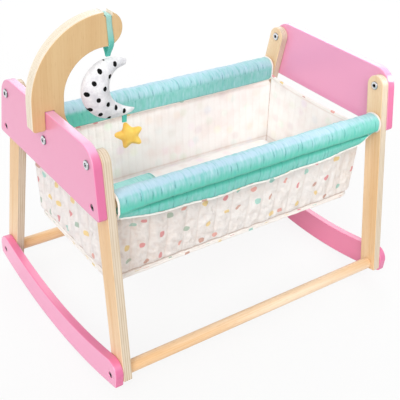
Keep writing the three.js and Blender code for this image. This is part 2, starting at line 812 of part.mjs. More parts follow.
// The whole cradle
const frame = new THREE.Group();
frame.add(endFrame('left'), endFrame('right'));
for (const [where, side] of [['near', -1], ['far', 1]]) {
  frame.add(piece(`${where}_stretcher`, rodGeometry(stretcherRadius), beech,
    [0, side * stretcherPlace.out, stretcherPlace.height]));
  frame.add(piece(`${where}_rail`, rodGeometry(railRadius), beech,
    [0, side * railPlace.out, railPlace.height]));
}

const arm = new THREE.Group();
arm.add(piece('moon_arm', armGeometry(), plywood));
arm.add(piece('arm_bolt', capBoltGeometry(armBoltReach), chrome,
  [-panelOuter - seatGap, 0, armBoltHeight]));
arm.add(piece('arm_barrel_nut', barrelGeometry(), darkSteel, [barrelX, 0, armBoltHeight]));

const basket = new THREE.Group();
for (const [where, side] of [['near', -1], ['far', 1]]) {
  const turn = side === 1 ? 0 : Math.PI;
  const sleeve = piece(`${where}_sleeve`, sleeveGeometry(), turquoiseCloth,
    [0, side * railPlace.out, railPlace.height]);
  sleeve.rotation.z = turn;
  const wall = piece(`${where}_wall`, sideWallGeometry(), confettiCloth);
  wall.rotation.z = turn;
  basket.add(sleeve, wall);
}
for (const [where, turn] of [['left', Math.PI], ['right', 0]]) {
  const wall = piece(`${where}_wall`, endWallGeometry(), confettiCloth);
  wall.rotation.z = turn;
  basket.add(wall);
}
const floorHalf = basketHalf(basketBottom);
basket.add(piece('basket_floor', plate(floorHalf.length, floorHalf.width, floorCloth),
  confettiCloth, [0, 0, basketBottom]));
const boardBottom = wallFoot;
const boardHalf = basketHalf(boardBottom);
const boardInset = wallCloth + boardMargin;
basket.add(piece('base_board',
  plate(boardHalf.length - boardInset, boardHalf.width - boardInset, boardThickness),
  boardBrown, [0, 0, boardBottom]));

const mattressBottom = boardBottom + boardThickness + seatGap;
const mattressHalf = basketHalf(mattressBottom);
const mattressInset = wallCloth + mattressMargin;
const pillowX = mattressInset - mattressHalf.length + pillowFromHead + pillowLength / 2;
const bedding = new THREE.Group();
bedding.add(piece('mattress', cushion(
  2 * (mattressHalf.length - mattressInset), 2 * (mattressHalf.width - mattressInset),
  mattressThickness, mattressRim, mattressPull, 12, 8), whiteCloth, [0, 0, mattressBottom]));
bedding.add(piece('pillow', cushion(
  pillowLength, pillowWidth, pillowThickness, pillowRim, pillowPull, 10, 12), turquoiseCloth,
  [pillowX, 0, mattressBottom + mattressThickness + seatGap]));

const mobile = new THREE.Group();
mobile.add(piece('hanging_strap', strapGeometry(), ribbonTeal));
mobile.add(piece('moon_toy', moonGeometry(), moonCloth, [moonFocusX, 0, moonFocusHeight]));
mobile.add(piece('star_tab', tabGeometry(), ribbonTeal, [tabX, 0, moonBottom - seatGap]));
const star = piece('star_toy', starGeometry(), starCloth,
  [tabX, 0, moonBottom - tabLength - 2 * seatGap]);
star.rotation.set(0, -starTilt, starTurn, 'ZYX');
mobile.add(star);

const cradle = new THREE.Group();
cradle.add(frame, arm, basket, bedding, mobile);
// the arm reaches further out than the right end, so the middle of the whole is off the frame's
cradle.position.x = (armOverhang - capHeight - seatGap) / 2;

export default cradle;
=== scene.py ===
"""The doll's cradle as it looks: painted end boards and runners, plywood posts, padded rails,
a quilted cloth basket with its bedding, and the crescent arm with its moon and star."""

import math
from functools import partialmethod

import bmesh
import bpy
import numpy as np
from mathutils import Matrix, Vector, noise
from mathutils.geometry import tessellate_polygon


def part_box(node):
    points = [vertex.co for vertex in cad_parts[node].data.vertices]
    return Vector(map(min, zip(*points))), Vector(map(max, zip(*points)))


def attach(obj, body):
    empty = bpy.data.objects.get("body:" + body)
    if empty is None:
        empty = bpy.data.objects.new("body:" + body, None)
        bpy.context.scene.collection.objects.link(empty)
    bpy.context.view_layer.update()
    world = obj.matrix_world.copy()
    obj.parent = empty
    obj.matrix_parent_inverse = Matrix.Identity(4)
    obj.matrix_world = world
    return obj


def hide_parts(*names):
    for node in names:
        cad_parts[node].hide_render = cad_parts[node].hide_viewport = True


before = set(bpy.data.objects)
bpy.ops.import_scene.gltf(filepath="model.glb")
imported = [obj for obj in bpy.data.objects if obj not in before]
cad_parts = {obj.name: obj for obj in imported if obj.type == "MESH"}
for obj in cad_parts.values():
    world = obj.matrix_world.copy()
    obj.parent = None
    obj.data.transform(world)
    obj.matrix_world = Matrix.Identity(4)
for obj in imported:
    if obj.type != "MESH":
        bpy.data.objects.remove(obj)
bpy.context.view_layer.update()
scene = bpy.context.scene

MM = 0.001


def middle(node):
    low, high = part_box(node)
    return (low + high) / 2


def spans(node):
    """A node's length along X, depth along Y and height."""
    low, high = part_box(node)
    return [b - a for a, b in zip(low, high)]


# Places and sizes that the frame gives
PANEL_LOW, PANEL_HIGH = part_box("right_panel")
CENTRE_X = (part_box("left_panel")[0].x + PANEL_HIGH.x) / 2
PANEL_OUTER = PANEL_HIGH.x - CENTRE_X
PANEL_THICKNESS = spans("right_panel")[0]
POST_INNER, POST_OUTER = (corner.x - CENTRE_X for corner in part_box("right_near_post"))
BOLT_OUT, BOLT_HEIGHT = middle("right_far_cap_bolt").yz
RAIL_OUT, RAIL_HEIGHT = middle("far_rail").yz
STRETCHER_OUT, STRETCHER_HEIGHT = middle("far_stretcher").yz
ROD_HALF = spans("far_rail")[0] / 2
LEAN = math.atan2(STRETCHER_OUT - RAIL_OUT, RAIL_HEIGHT - STRETCHER_HEIGHT)
SLEEVE_HALF = spans("far_sleeve")[0] / 2
ARM_LOW, ARM_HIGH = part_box("moon_arm")
ARM_BOLT_HEIGHT = middle("arm_bolt").z
BASKET_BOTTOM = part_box("basket_floor")[0].z
WALL_BOTTOM, WALL_TOP = (corner.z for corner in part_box("near_wall"))
MATTRESS_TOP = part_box("mattress")[1].z
STRAP_LOW, STRAP_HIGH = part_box("hanging_strap")
TAB_LOW, TAB_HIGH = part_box("star_tab")

# Sizes of the boards
PAINT_EDGE = 1.6 * MM
WOOD_EDGE = 1.1 * MM
POST_WIDTH = 29.5 * MM
POST_TAIL = 9.5 * MM
POST_FOOT_ROUND = 1.6 * MM
PANEL_MARGIN = 1.2 * MM
PANEL_TOP_ROUND = 30 * MM
PANEL_BOTTOM_ROUND = 5 * MM
ROCKER_RADIUS = 700 * MM
ROCKER_DEPTH = 39.5 * MM
ROCKER_TIP_ROUND = 19 * MM
ROCKER_HEEL_ROUND = 3 * MM
ROCKER_TIP_PAST = 17.2 * MM
ROCKER_HEEL_PAST = 14.7 * MM
SCREW_HOLE = 4.3 * MM
BOLT_HOLE = 4.5 * MM
PILOT_HOLE = 2.8 * MM
BARREL_HOLE = 5.3 * MM
DOWEL_BORE = 4.9 * MM
DOWEL_BORE_DEPTH = 21 * MM
DOWEL_EDGE = 0.9 * MM
ARM_WIDTH = 44 * MM
ARM_OUTER_RADIUS = 101 * MM
ARM_SPAN = 127 * MM
ARM_FLARE_DROP = 18.3 * MM
ARM_FLARE_RADIUS = 38 * MM
ARM_FOOT_STEP = 19 * MM
ARM_FOOT_ROUND = 8 * MM
ARM_FOOT_CORNER = 5 * MM
ARM_TOE_DROP = 25.3 * MM
ARM_EDGE = 1.2 * MM
SLOT_GAP = 0.3 * MM
SLOT_MOUTH_ROUND = 2.4 * MM
NOTCH_FROM_TIP = 20 * MM
NOTCH_WIDTH = 12 * MM
NOTCH_DEPTH = 5.5 * MM
NOTCH_X = ARM_LOW.x + ARM_SPAN - NOTCH_FROM_TIP

# Sizes of the fasteners
CAP_RADIUS = 6.2 * MM
CAP_HEIGHT = 1.9 * MM
CAP_SOCKET = 2.6 * MM
CAP_SOCKET_DEPTH = 1.4 * MM
# how far down each ring of a cap's dome lies, and its radius, in millimetres
CAP_DOME = ((0, 4.3), (0.15, 5.0), (0.5, 5.7), (1.0, 6.1))
SCREW_HEAD = 4 * MM
SCREW_SOCKET = 2 * MM
SCREW_SOCKET_DEPTH = 1.8 * MM
SCREW_HEAD_DEPTH = 3.2 * MM
SCREW_SINK = 0.8 * MM
SCREW_SHANK = 2.5 * MM
SCREW_REACH = 38 * MM
BOLT_SHANK = 3 * MM
BOLT_REACH = 21 * MM
NUT_SHANK = 4.2 * MM
NUT_REACH = 10.5 * MM
ARM_BOLT_REACH = 34 * MM
ARM_BOLT_TURN = 0.4
CAP_GAP = 0.3 * MM

# Sizes of the cloth basket
SLEEVE_WRAP = 13.1 * MM
SLEEVE_PUFF = 2.9 * MM
SLEEVE_BORE = 10.3 * MM
CHIN_DROP = 12.9 * MM
HEM_DROP = 33 * MM
INNER_DROP = 21.5 * MM
FLAP_CLOTH = 2.6 * MM
FLAP_RISE = 14 * MM
INNER_RISE = 0.15
SLEEVE_STEP = 1.7 * MM
SLEEVE_STATIONS = 360
PLEAT_SPACING = 19 * MM
FLAP_WAVE = 92 * MM
HEM_PIPING = 1.6 * MM
INNER_PIPING = 1.3 * MM
END_PIPING = 1.5 * MM
WALL_CLOTH = 4.5 * MM
WALL_BILLOW = 2.2 * MM
WALL_IN_FROM_RAIL = 4.4 * MM
TOP_CORNER_ROUND = 5 * MM
CORNER_WIDENS = 1 * MM
BASE_CORNER_WIDENS = 9 * MM
BASE_CURVE_RISE = 14 * MM
SIDE_RAKE = 14.3 * MM
LEFT_RAKE = 7.5 * MM
RIGHT_RAKE = -1 * MM
CORNER_TUCK = 9 * MM
BASE_TUCK = 2.5 * MM
END_WALL_RISE = 4 * MM
SEAM_SPACING = 27 * MM
QUILT_SPACING = 13 * MM
BASE_SEAM_RISE = 6.5 * MM
WALL_ROWS = 76
SIDE_COLUMNS = 280
END_COLUMNS = 140
# how far the lining's pattern lies from the outside's
LINING_SHIFT = (13 * MM, 21 * MM, 0)
BASE_PIPING = 3.4 * MM
BOARD_PLAY = 1.6 * MM
BOARD_EDGE = 0.4 * MM
WALL_BINDING = 1.9 * MM
LEFT_SAG = 2.6 * MM
CUSHION_CORNER = 2.2 * MM
STUFFING_FRAMES = 20

# Sizes of the star and of the ribbons
STAR_TIP = 24.6 * MM
STAR_TIP_ROUND = 3.6 * MM
STAR_VALLEY = 13.2 * MM
STAR_VALLEY_ROUND = 5 * MM
STAR_HALF_THICK = 5.4 * MM
STAR_TURN = math.radians(-29.5)
STAR_TILT = math.radians(-18.3)
STRAP_WIDTH = 8 * MM
STRAP_THICK = 0.9 * MM
TAB_WIDTH = 7 * MM
TAB_THICK = 0.8 * MM

# How close points may lie before they are made one
WELD_GAP = 0.01 * MM
BOARD_WELD_GAP = 0.004 * MM

FACING_X = Matrix(((0, 0, 1, 0), (1, 0, 0, 0), (0, 1, 0, 0), (0, 0, 0, 1)))
FACING_Y = Matrix(((1, 0, 0, 0), (0, 0, -1, 0), (0, 1, 0, 0), (0, 0, 0, 1)))
ALONG_X = Matrix(((0, 1, 0, 0), (-1, 0, 0, 0), (0, 0, 1, 0), (0, 0, 0, 1)))


class Value:
    """A value on one shader socket, which Python's operators carry on with Math nodes."""

    def __init__(self, finish, socket):
        self.finish = finish
        self.socket = socket

    def math(self, operation, *others):
        return self.finish.node("ShaderNodeMath", {"operation": operation},
                                dict(enumerate((self, *others))))

    def __rsub__(self, other):
        return self.finish.node("ShaderNodeMath", {"operation": "SUBTRACT"}, {0: other, 1: self})

    __add__ = __radd__ = partialmethod(math, "ADD")
    __sub__ = partialmethod(math, "SUBTRACT")
    __mul__ = __rmul__ = partialmethod(math, "MULTIPLY")
    __truediv__ = partialmethod(math, "DIVIDE")
    __pow__ = partialmethod(math, "POWER")
    __gt__ = partialmethod(math, "GREATER_THAN")
    __lt__ = partialmethod(math, "LESS_THAN")
    __abs__ = partialmethod(math, "ABSOLUTE")


class Nodes:
    """The nodes of a material or of the world. Its method adds one and hands back its value."""

    def __init__(self, holder):
        holder.use_nodes = True
        self.tree = holder.node_tree
        self.tree.nodes.clear()

    def node(self, kind, settings=None, inputs=None, output=0):
        made = self.tree.nodes.new(kind)
        for key, setting in (settings or {}).items():
            if key == "stops":
                ramp = made.color_ramp.elements
                while len(ramp) < len(setting):
                    ramp.new(1)
                for stop, (position, color) in zip(ramp, setting):
                    stop.position = position
                    stop.color = color
            else:
                setattr(made.color_ramp if key == "interpolation" else made, key, setting)
        for key, value in (inputs or {}).items():
            if isinstance(value, Value):
                self.tree.links.new(value.socket, made.inputs[key])
            else:
                made.inputs[key].default_value = value
        if isinstance(output, tuple):
            return [Value(self, made.outputs[name]) for name in output]
        return Value(self, made.outputs[output]) if made.outputs else None


class Finish(Nodes):
    """One material."""

    def __init__(self, name):
        self.material = bpy.data.materials.new(name)
        super().__init__(self.material)

    def place(self, output="Object"):
        return self.node("ShaderNodeTexCoord", output=output)

    def stored(self, name, output="Fac"):
        return self.node("ShaderNodeAttribute", {"attribute_name": name}, output=output)

    def split(self, vector):
        return self.node("ShaderNodeSeparateXYZ", inputs={0: vector}, output=("X", "Y", "Z"))

    def scaled(self, vector, scale, turn=(0, 0, 0)):
        return self.node("ShaderNodeMapping", inputs={
            "Vector": vector, "Scale": scale, "Rotation": turn})

    def noise(self, vector, scale, detail=2.0):
        return self.node("ShaderNodeTexNoise", inputs={
            "Vector": vector, "Scale": scale, "Detail": detail})

    def streaks(self, vector, scale, detail=2.0, turn=0.0):
        """Noise drawn out by a scale for each axis, and turned about the third."""
        return self.noise(self.scaled(vector, scale, (0, 0, turn)), 1.0, detail)

    def cells(self, vector, scale, randomness, *output):
        return self.node("ShaderNodeTexVoronoi", {"voronoi_dimensions": "2D"},
                         {"Vector": vector, "Scale": scale, "Randomness": randomness}, output)

    def wave(self, value, length):
        return (value * (2 * math.pi / length)).math("SINE")

    def smooth(self, value, low, high):
        return self.node("ShaderNodeMapRange", {"interpolation_type": "SMOOTHSTEP"},
                         {0: value, 1: low, 2: high})

    def choice(self, value, colors):
        """One of the colours, each for an equal share of the value."""
        stops = [(i / len(colors), paint(color)) for i, color in enumerate(colors)]
        return self.node("ShaderNodeValToRGB", {"interpolation": "CONSTANT", "stops": stops},
                         {0: value})

    def mix(self, factor, first, second):
        return self.node("ShaderNodeMix", {"data_type": "RGBA"}, {
            0: factor, 6: color_of(first), 7: color_of(second)}, output=2)

    def washed(self, base, color, value, low, high, share=1.0):
        """A base with a colour over it where a value has passed low, and most past high."""
        amount = self.smooth(value, low, high)
        return self.mix(amount if share == 1 else amount * share, base, color)

    def bump(self, height, distance, strength):
        return self.node("ShaderNodeBump", inputs={
            "Strength": strength, "Distance": distance, "Height": height}, output="Normal")

    def surface(self, **inputs):
        named = {key.replace("_", " ").title().replace("Ior", "IOR"): value
                 for key, value in inputs.items()}
        shader = self.node("ShaderNodeBsdfPrincipled", inputs=named)
        self.node("ShaderNodeOutputMaterial", inputs={"Surface": shader})
        return self.material


def paint(color):
    """A written colour, such as "f3a8cb", as the linear value that a node takes."""
    parts = [int(color[i:i + 2], 16) / 255 for i in (0, 2, 4)]
    linear = [c / 12.92 if c <= 0.04045 else ((c + 0.055) / 1.055) ** 2.4 for c in parts]
    return (*linear, 1.0)


def color_of(value):
    return paint(value) if isinstance(value, str) else value


# Finishes

def pink_paint():
    """Sprayed lacquer on board with faint orange peel, and painted light and shade in its pink:
    deeper on the side edges, paler on the panels' top edges, darker on the runners under the basket.
    """
    finish = Finish("pink_lacquer")
    place = finish.place()
    cloud = finish.noise(place, 9.0, 3.0)
    peel = finish.noise(place, 900.0, 1.0)
    worn = finish.smooth(finish.node("ShaderNodeNewGeometry", output="Pointiness"), 0.52, 0.60)
    chips = finish.smooth(finish.noise(place, 260.0, 3.0), 0.52, 0.62)
    height = finish.split(place)[1]
    side, top, face = finish.split(finish.place("Normal"))
    # painted shade: the runners, low under the basket, take deeper pinks than the panels above them
    out_of_basket_shade = finish.smooth(height, 0.08, 0.22)
    # painted light and shade on the faces that turn inwards, darker on the runners
    inward = finish.smooth(face, 0.5, 0.9)
    outer = finish.mix(out_of_basket_shade, "f19ac0", finish.mix(cloud, "e88ab2", "ec92b9"))
    base = finish.mix(inward, outer, finish.mix(out_of_basket_shade, "ea7fa5", "ef9dc3"))
    # painted highlight on the panels' top edges, painted shade on the runners' top edges
    upward_light_and_shade = finish.mix(out_of_basket_shade, "e36f9c", "e8a9cf")
    base = finish.washed(base, upward_light_and_shade, top, 0.5, 0.9)
    # painted shade: the side edges go a deeper pink
    base = finish.washed(base, "da6496", abs(side), 0.5, 0.9)
    return finish.surface(
        base_color=finish.mix(worn * chips * 0.35, base, "f6bcd3"),
        roughness=finish.noise(place, 60.0) * 0.12 + 0.3, specular_ior_level=0.8,
        normal=finish.bump(peel, 0.03 * MM, 0.35), coat_weight=0.8, coat_roughness=0.25)


def grain(finish, place, face):
    """Long grain along the board's own v axis: broad bands, fine lines and short pores."""
    waver = finish.streaks(place, (12, 2.5, 12))
    broad = finish.streaks(place, (60, 3.0, 60), 3.0)
    lines = finish.streaks(place, (900, 9.0, 900))
    pores = finish.smooth(finish.streaks(place, (1500, 70, 1500), 1.0), 0.62, 0.75)
    tone = broad * 0.55 + lines * 0.3 + waver * 0.35
    light, dark = face
    color = finish.washed(light, dark, tone, 0.42, 0.80)
    return finish.mix(pores * 0.35, color, "b98a55"), lines, pores


def plywood(name, face, plies, ply, edge_color):
    """Lacquered plywood: grain on the faces, and stripes of the plies across the cut edges."""
    finish = Finish(name)
    place = finish.place()
    color, lines, pores = grain(finish, place, face)
    across = finish.split(place)[2]
    facing = abs(finish.split(finish.place("Normal"))[2])
    layer = (across / ply + plies / 2).math("FRACT")
    faint = finish.streaks(place, (6, 6, 900), 1.0)
    stripe = (1 - finish.smooth(abs(layer - 0.5), 0.08, 0.26)) * finish.smooth(faint, 0.25, 0.6)
    end_grain = finish.streaks(place, (900, 22, 300))
    edge = finish.mix(stripe * 0.6, edge_color, "b09468")
    edge = finish.washed(edge, "bd9f78", end_grain, 0.5, 0.75, 0.3)
    return finish.surface(
        base_color=finish.washed(edge, color, facing, 0.45, 0.75),
        roughness=lines * 0.15 + 0.34,
        normal=finish.bump(lines * 0.6 - pores * 0.5 - stripe * 0.4, 0.05 * MM, 0.5))


def beech(name, face):
    """Turned rod: straight grain along the rod with short flecks."""
    finish = Finish(name)
    color, lines, pores = grain(finish, finish.place(), face)
    return finish.surface(
        base_color=color, roughness=lines * 0.15 + 0.34,
        normal=finish.bump(lines * 0.6 - pores * 0.5, 0.05 * MM, 0.5))


def metal(name, color, low, high, socket, rim=None):
    """Plated steel, with painted shade in a head's hexagonal socket and a painted dark reflection
    where a cap's rim turns away.
    """
    finish = Finish(name)
    place = finish.place()
    u, _, w = finish.split(place)
    reach = (u * u + w * w).math("SQRT")
    # painted shade in the socket
    dark = finish.smooth(reach, socket * 1.15, socket * 0.95)
    if rim is not None:
        # painted dark reflection round the cap's rim
        dark = dark.math("MAXIMUM", finish.smooth(reach, rim * 0.84, rim * 0.97) * 0.7)
    scratch = finish.streaks(place, (3000, 200, 3000))
    dull = finish.noise(place, 300.0, 3.0)
    return finish.surface(
        base_color=finish.mix(dark, finish.mix(dull * 0.2, color, "9a9ca2"), "0d0d10"),
        metallic=1.0,
        roughness=finish.smooth(dull, 0.3, 0.8) * (high - low) + low,
        normal=finish.bump(scratch, 0.01 * MM, 0.2))


WEAVE_THREAD = 0.55 * MM
COTTON_SHEEN = {"sheen_weight": 0.15, "sheen_roughness": 0.5}


def weave(finish, place):
    """Plain weave height from two crossed sets of threads."""
    u, v, _ = finish.split(place)
    return finish.wave(u, WEAVE_THREAD) * finish.wave(v, WEAVE_THREAD) * 0.5 + 0.5


def stitches(finish, place, width=0.5 * MM, length=3.2 * MM):
    """Thread along the nearest sewn line, in short stitches."""
    u, v, _ = finish.split(place)
    gap = abs(finish.stored("seam"))
    line = 1 - finish.smooth(gap, width * 0.4, width)
    dash = finish.smooth(abs(((u + v) / length).math("FRACT") - 0.5), 0.1, 0.16)
    return line * (dash * 0.75 + 0.25)


def turquoise_cloth(name="turquoise_cotton", upper="b2d0e0", lower="5cc2ae"):
    """Cotton, sea green below with a painted sheen of pale blue above, and painted shade along its
    gathers and folds.
    """
    finish = Finish(name)
    place = finish.stored("cloth_place", "Vector")
    thread = weave(finish, place)
    mottle = finish.streaks(place, (160, 60, 1), 4.0)
    streak = finish.streaks(place, (330, 55, 1), 3.0, 0.2)
    tone = finish.stored("tone") + (mottle - 0.5) * 0.5 + (streak - 0.5) * 0.35
    base = finish.washed(lower, upper, tone, 0.0, 1.0)
    # painted highlight on the streaks of the fine gathers, towards the crown
    painted_highlight = finish.smooth(streak, 0.55, 0.75) * finish.smooth(tone, 0.2, 0.9)
    base = finish.mix(painted_highlight * 0.35, base, "d3ecf1")
    # darker streaks: painted shade between the fine gathers
    base = finish.washed(base, "57b3b4", streak, 0.47, 0.28, 0.42)
    # painted shade in the folds, pleats and hollows, and under the roll
    crease = finish.stored("crease")
    base = finish.mix(crease * 0.7, base, finish.washed("2b9683", "4694ad", tone, 0.2, 0.8))
    # dark dashes along the sewn pleats where they lie deepest: thread and painted shade
    pleat = stitches(finish, place, 0.5 * MM, 4.1 * MM) * finish.smooth(crease, 0.15, 0.4)
    return finish.surface(
        base_color=finish.mix(pleat * 0.6, base, "1f6f74"), roughness=mottle * 0.15 + 0.75,
        normal=finish.bump(thread * 0.4 + streak * 2.2 + mottle, 0.16 * MM, 0.8), **COTTON_SHEEN)


CONFETTI = ("dc6a72", "e58f80", "72c4b6", "e9c765", "bf7f68", "8fb39d", "d9606e", "86cdbf", "edca6c")


def confetti_on(finish, place, base):
    """Dabs of colour on cloth, about an inch apart: round ones and dashes at any slant."""
    flat = finish.node("ShaderNodeVectorMath", {"operation": "MULTIPLY"}, {0: place, 1: (1, 1, 0)})
    chosen, centre = finish.cells(flat, 34.0, 0.6, "Color", "Position")
    red, green, blue = finish.node("ShaderNodeSeparateColor", inputs={0: chosen},
                                   output=("Red", "Green", "Blue"))
    gap = finish.node("ShaderNodeVectorMath", {"operation": "SUBTRACT"}, {0: flat, 1: centre})
    x, y, _ = finish.split(gap)
    turn = blue * math.pi
    cosine, sine = turn.math("COSINE"), turn.math("SINE")
    along = abs(x * cosine + y * sine)
    across = abs(y * cosine - x * sine)
    is_dash = green > 0.74
    long_half = green * 0.9 * MM + 4.1 * MM
    wide_half = long_half * (1 - is_dash * 0.45) * (red * 0.2 + 0.84)
    rough_edge = (finish.noise(place, 520.0, 1.0) - 0.5) * 0.45
    reach = (along / long_half) ** 2.6 + (across / wide_half) ** 2.6 + rough_edge
    dab = finish.smooth(reach, 1.3, 0.7) * (green > 0.1)
    faded = finish.noise(place, 900.0, 2.0) * 0.3 + 0.6
    return finish.mix(dab * faded, base, finish.choice(red, CONFETTI))


def confetti_cloth(name="confetti_cotton", ground="ede9e6"):
    finish = Finish(name)
    place = finish.stored("cloth_place", "Vector")
    thread = weave(finish, place)
    mottle = finish.noise(place, 45.0, 4.0)
    wrinkle = finish.streaks(place, (150, 80, 1), 4.0, 0.7)
    base = finish.washed(ground, "ebe1da", mottle, 0.35, 0.75, 0.5)
    base = confetti_on(finish, place, base)
    # painted shade in folds, seams and hollows and under hems, darkest in the deepest grooves
    crease = finish.stored("crease")
    base = finish.mix(crease * 0.62, base, "bf9d88")
    base = finish.washed(base, "86705f", crease, 0.65, 1.0, 0.45)
    thread_line = stitches(finish, place)
    worn = finish.smooth(finish.noise(place, 18.0, 2.0), 0.35, 0.6)
    return finish.surface(
        base_color=finish.mix(thread_line * worn * 0.2, base, "b7a293"),
        roughness=mottle * 0.1 + 0.8,
        normal=finish.bump(thread * 0.3 + wrinkle * 7.0, 0.3 * MM, 1.0), **COTTON_SHEEN)


def white_cloth(name="quilted_lining", ground="f8f5f2", tint="f3eae6"):
    """Lining: the printed side shows through as the faintest pastel patches."""
    finish = Finish(name)
    place = finish.stored("cloth_place", "Vector")
    thread = weave(finish, place)
    mottle = finish.noise(place, 30.0, 4.0)
    base = finish.washed(ground, tint, mottle, 0.35, 0.75)
    distance, chosen = finish.cells(place, 38.0, 0.8, "Distance", "Color")
    shown = finish.smooth(distance, 0.4, 0.1)
    base = finish.mix(shown * 0.08, base, chosen)
    # painted shade in the corners, along the mattress's edge and under the hem
    base = finish.mix(finish.stored("crease") * 0.62, base, "b48462")
    thread_line = stitches(finish, place)
    worn = finish.smooth(finish.noise(place, 22.0, 2.0), 0.35, 0.65)
    puffs = finish.streaks(place, (70, 110, 1), 3.0, 0.5)
    return finish.surface(
        base_color=finish.mix(thread_line * worn * 0.08, base, "cdb3a6"),
        roughness=mottle * 0.1 + 0.82,
        normal=finish.bump(thread * 0.4 + mottle * 4 + puffs * 4, 0.25 * MM, 0.8), **COTTON_SHEEN)


DOT_SPACING = 23.5 * MM
DOT_RADIUS = 2.9 * MM


def spotted_cloth():
    """White brushed cotton with black dots in staggered rows."""
    finish = Finish("dotted_cotton")
    place = finish.place()
    u, _, w = finish.split(finish.scaled(place, (1, 1, 1), (0, math.radians(12), 0)))
    wobble = (finish.noise(place, 420.0, 1.0) - 0.5) * 0.9 * MM
    mask = None
    for shift in (0.0, 0.5):
        x = ((u / DOT_SPACING + shift).math("FRACT") - 0.5) * DOT_SPACING
        z = ((w / DOT_SPACING + shift).math("FRACT") - 0.5) * DOT_SPACING
        reach = (x * x + z * z * 0.72).math("SQRT") + wobble
        spot = finish.smooth(reach, DOT_RADIUS * 1.08, DOT_RADIUS * 0.94)
        mask = spot if mask is None else mask.math("MAXIMUM", spot)
    nap = finish.noise(place, 700.0, 3.0)
    puffs = finish.noise(place, 110.0, 3.0)
    base = finish.washed("dadade", "f0f0f2", puffs, 0.3, 0.7)
    base = finish.washed(base, "c9c9ce", nap, 0.45, 0.65, 0.3)
    return finish.surface(
        base_color=finish.mix(mask, base, "040405"), roughness=nap * 0.1 + 0.85,
        normal=finish.bump(nap + puffs * 4, 0.25 * MM, 0.7), specular_ior_level=0.25)


def plush(name, ground, shade):
    finish = Finish(name)
    place = finish.place()
    nap = finish.noise(place, 900.0, 3.0)
    mottle = finish.noise(place, 70.0, 4.0)
    return finish.surface(
        base_color=finish.washed(ground, shade, mottle, 0.35, 0.7),
        roughness=nap * 0.1 + 0.8, normal=finish.bump(nap + mottle * 2, 0.2 * MM, 0.5),
        sheen_weight=0.25, sheen_roughness=0.5)


RIB_SPACING = 0.9 * MM


def satin_ribbon():
    """Ribbed tape with fine ribs across its width, and a painted highlight where it goes over the
    arm.
    """
    finish = Finish("ribbed_ribbon")
    place = finish.place()
    up = finish.split(place)[2]
    ribs = finish.wave(up, RIB_SPACING)
    mottle = finish.noise(place, 120.0, 3.0)
    # painted highlight: the tape pales above about 410 mm, where it goes over the arm
    height = up + (mottle - 0.5) * 8 * MM
    base = finish.washed("4cc2b2", "9fcfc4", height, 410 * MM, 440 * MM)
    return finish.surface(
        base_color=finish.washed(base, "2f9c8e", ribs, 0.2, 1.0, 0.25),
        roughness=mottle * 0.15 + 0.5, normal=finish.bump(ribs, 0.12 * MM, 0.5),
        sheen_weight=0.2)


def fibre_board():
    finish = Finish("stiff_board")
    place = finish.place()
    fleck = finish.noise(place, 800.0, 4.0)
    return finish.surface(base_color=finish.mix(fleck, "b89a72", "9c7f58"), roughness=0.85,
                          normal=finish.bump(fleck, 0.1 * MM, 0.4))


PINK = pink_paint()
POST_PLY = plywood("post_plywood", ("f3d9b7", "e1b783"), 4, 3.12 * MM, "dacbb6")
ARM_PLY = plywood("arm_plywood", ("dbba89", "d1aa77"), 7, 2.46 * MM, "f3e8d5")
ROD_WOOD = beech("rod_beech", ("f7e0c4", "e2b683"))
CHROME = metal("chromed_steel", "f1f3f7", 0.12, 0.3, CAP_SOCKET, CAP_RADIUS)
STEEL = metal("dark_steel", "87787f", 0.3, 0.5, SCREW_SOCKET)
SLEEVE_CLOTH = turquoise_cloth()
CONFETTI_CLOTH = confetti_cloth()
PIPING_CLOTH = confetti_cloth("piping_cotton", "f8f4ef")
LINING = white_cloth()
BEDDING = white_cloth("bedding_cotton", "f9f7f4", "f5f1ee")
PILLOW_CLOTH = turquoise_cloth("pillow_cotton", "a3e0dc", "79cdc6")
MOON_CLOTH = spotted_cloth()
STAR_CLOTH = plush("yellow_fleece", "f3ce62", "ecbb48")
RIBBON = satin_ribbon()
BOARD = fibre_board()


# Meshes

def finished(name, mesh, material, *nodes, body="cradle", place=None, crease_angle=None):
    """Links a mesh as a piece that wears a material, rides on a body and stands for CAD nodes."""
    mesh.name = name
    shape = bmesh.new()
    shape.from_mesh(mesh)
    bmesh.ops.recalc_face_normals(shape, faces=shape.faces)
    for face in shape.faces:
        face.smooth = True
    if crease_angle is not None:
        for edge in shape.edges:
            edge.smooth = len(edge.link_faces) < 2 or edge.calc_face_angle() < crease_angle
    shape.to_mesh(mesh)
    shape.free()
    piece = bpy.data.objects.new(name, mesh)
    scene.collection.objects.link(piece)
    mesh.materials.clear()
    mesh.materials.append(material)
    if place is not None:
        piece.matrix_world = place
    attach(piece, body)
    if nodes:
        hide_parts(*nodes)
    return piece


def mesh_of(name, vertices, faces):
    mesh = bpy.data.meshes.new(name)
    mesh.from_pydata([tuple(v) for v in vertices], [], [tuple(f) for f in faces])
    return mesh


def welded(mesh, gap):
    """The mesh with points that lie closer than a gap made one."""
    shape = bmesh.new()
    shape.from_mesh(mesh)
    bmesh.ops.remove_doubles(shape, verts=shape.verts, dist=gap)
    shape.to_mesh(mesh)
    shape.free()
    return mesh


def band(first, second, sides):
    """Faces between two rings of points, each given by the number of its first point."""
    return [(first + k, first + (k + 1) % sides, second + (k + 1) % sides, second + k)
            for k in range(sides)]


def store(mesh, name, values, kind="FLOAT"):
    layer = mesh.attributes.new(name, kind, "POINT")
    key = "value" if kind == "FLOAT" else "vector"
    layer.data.foreach_set(key, np.asarray(values, np.float32).ravel())


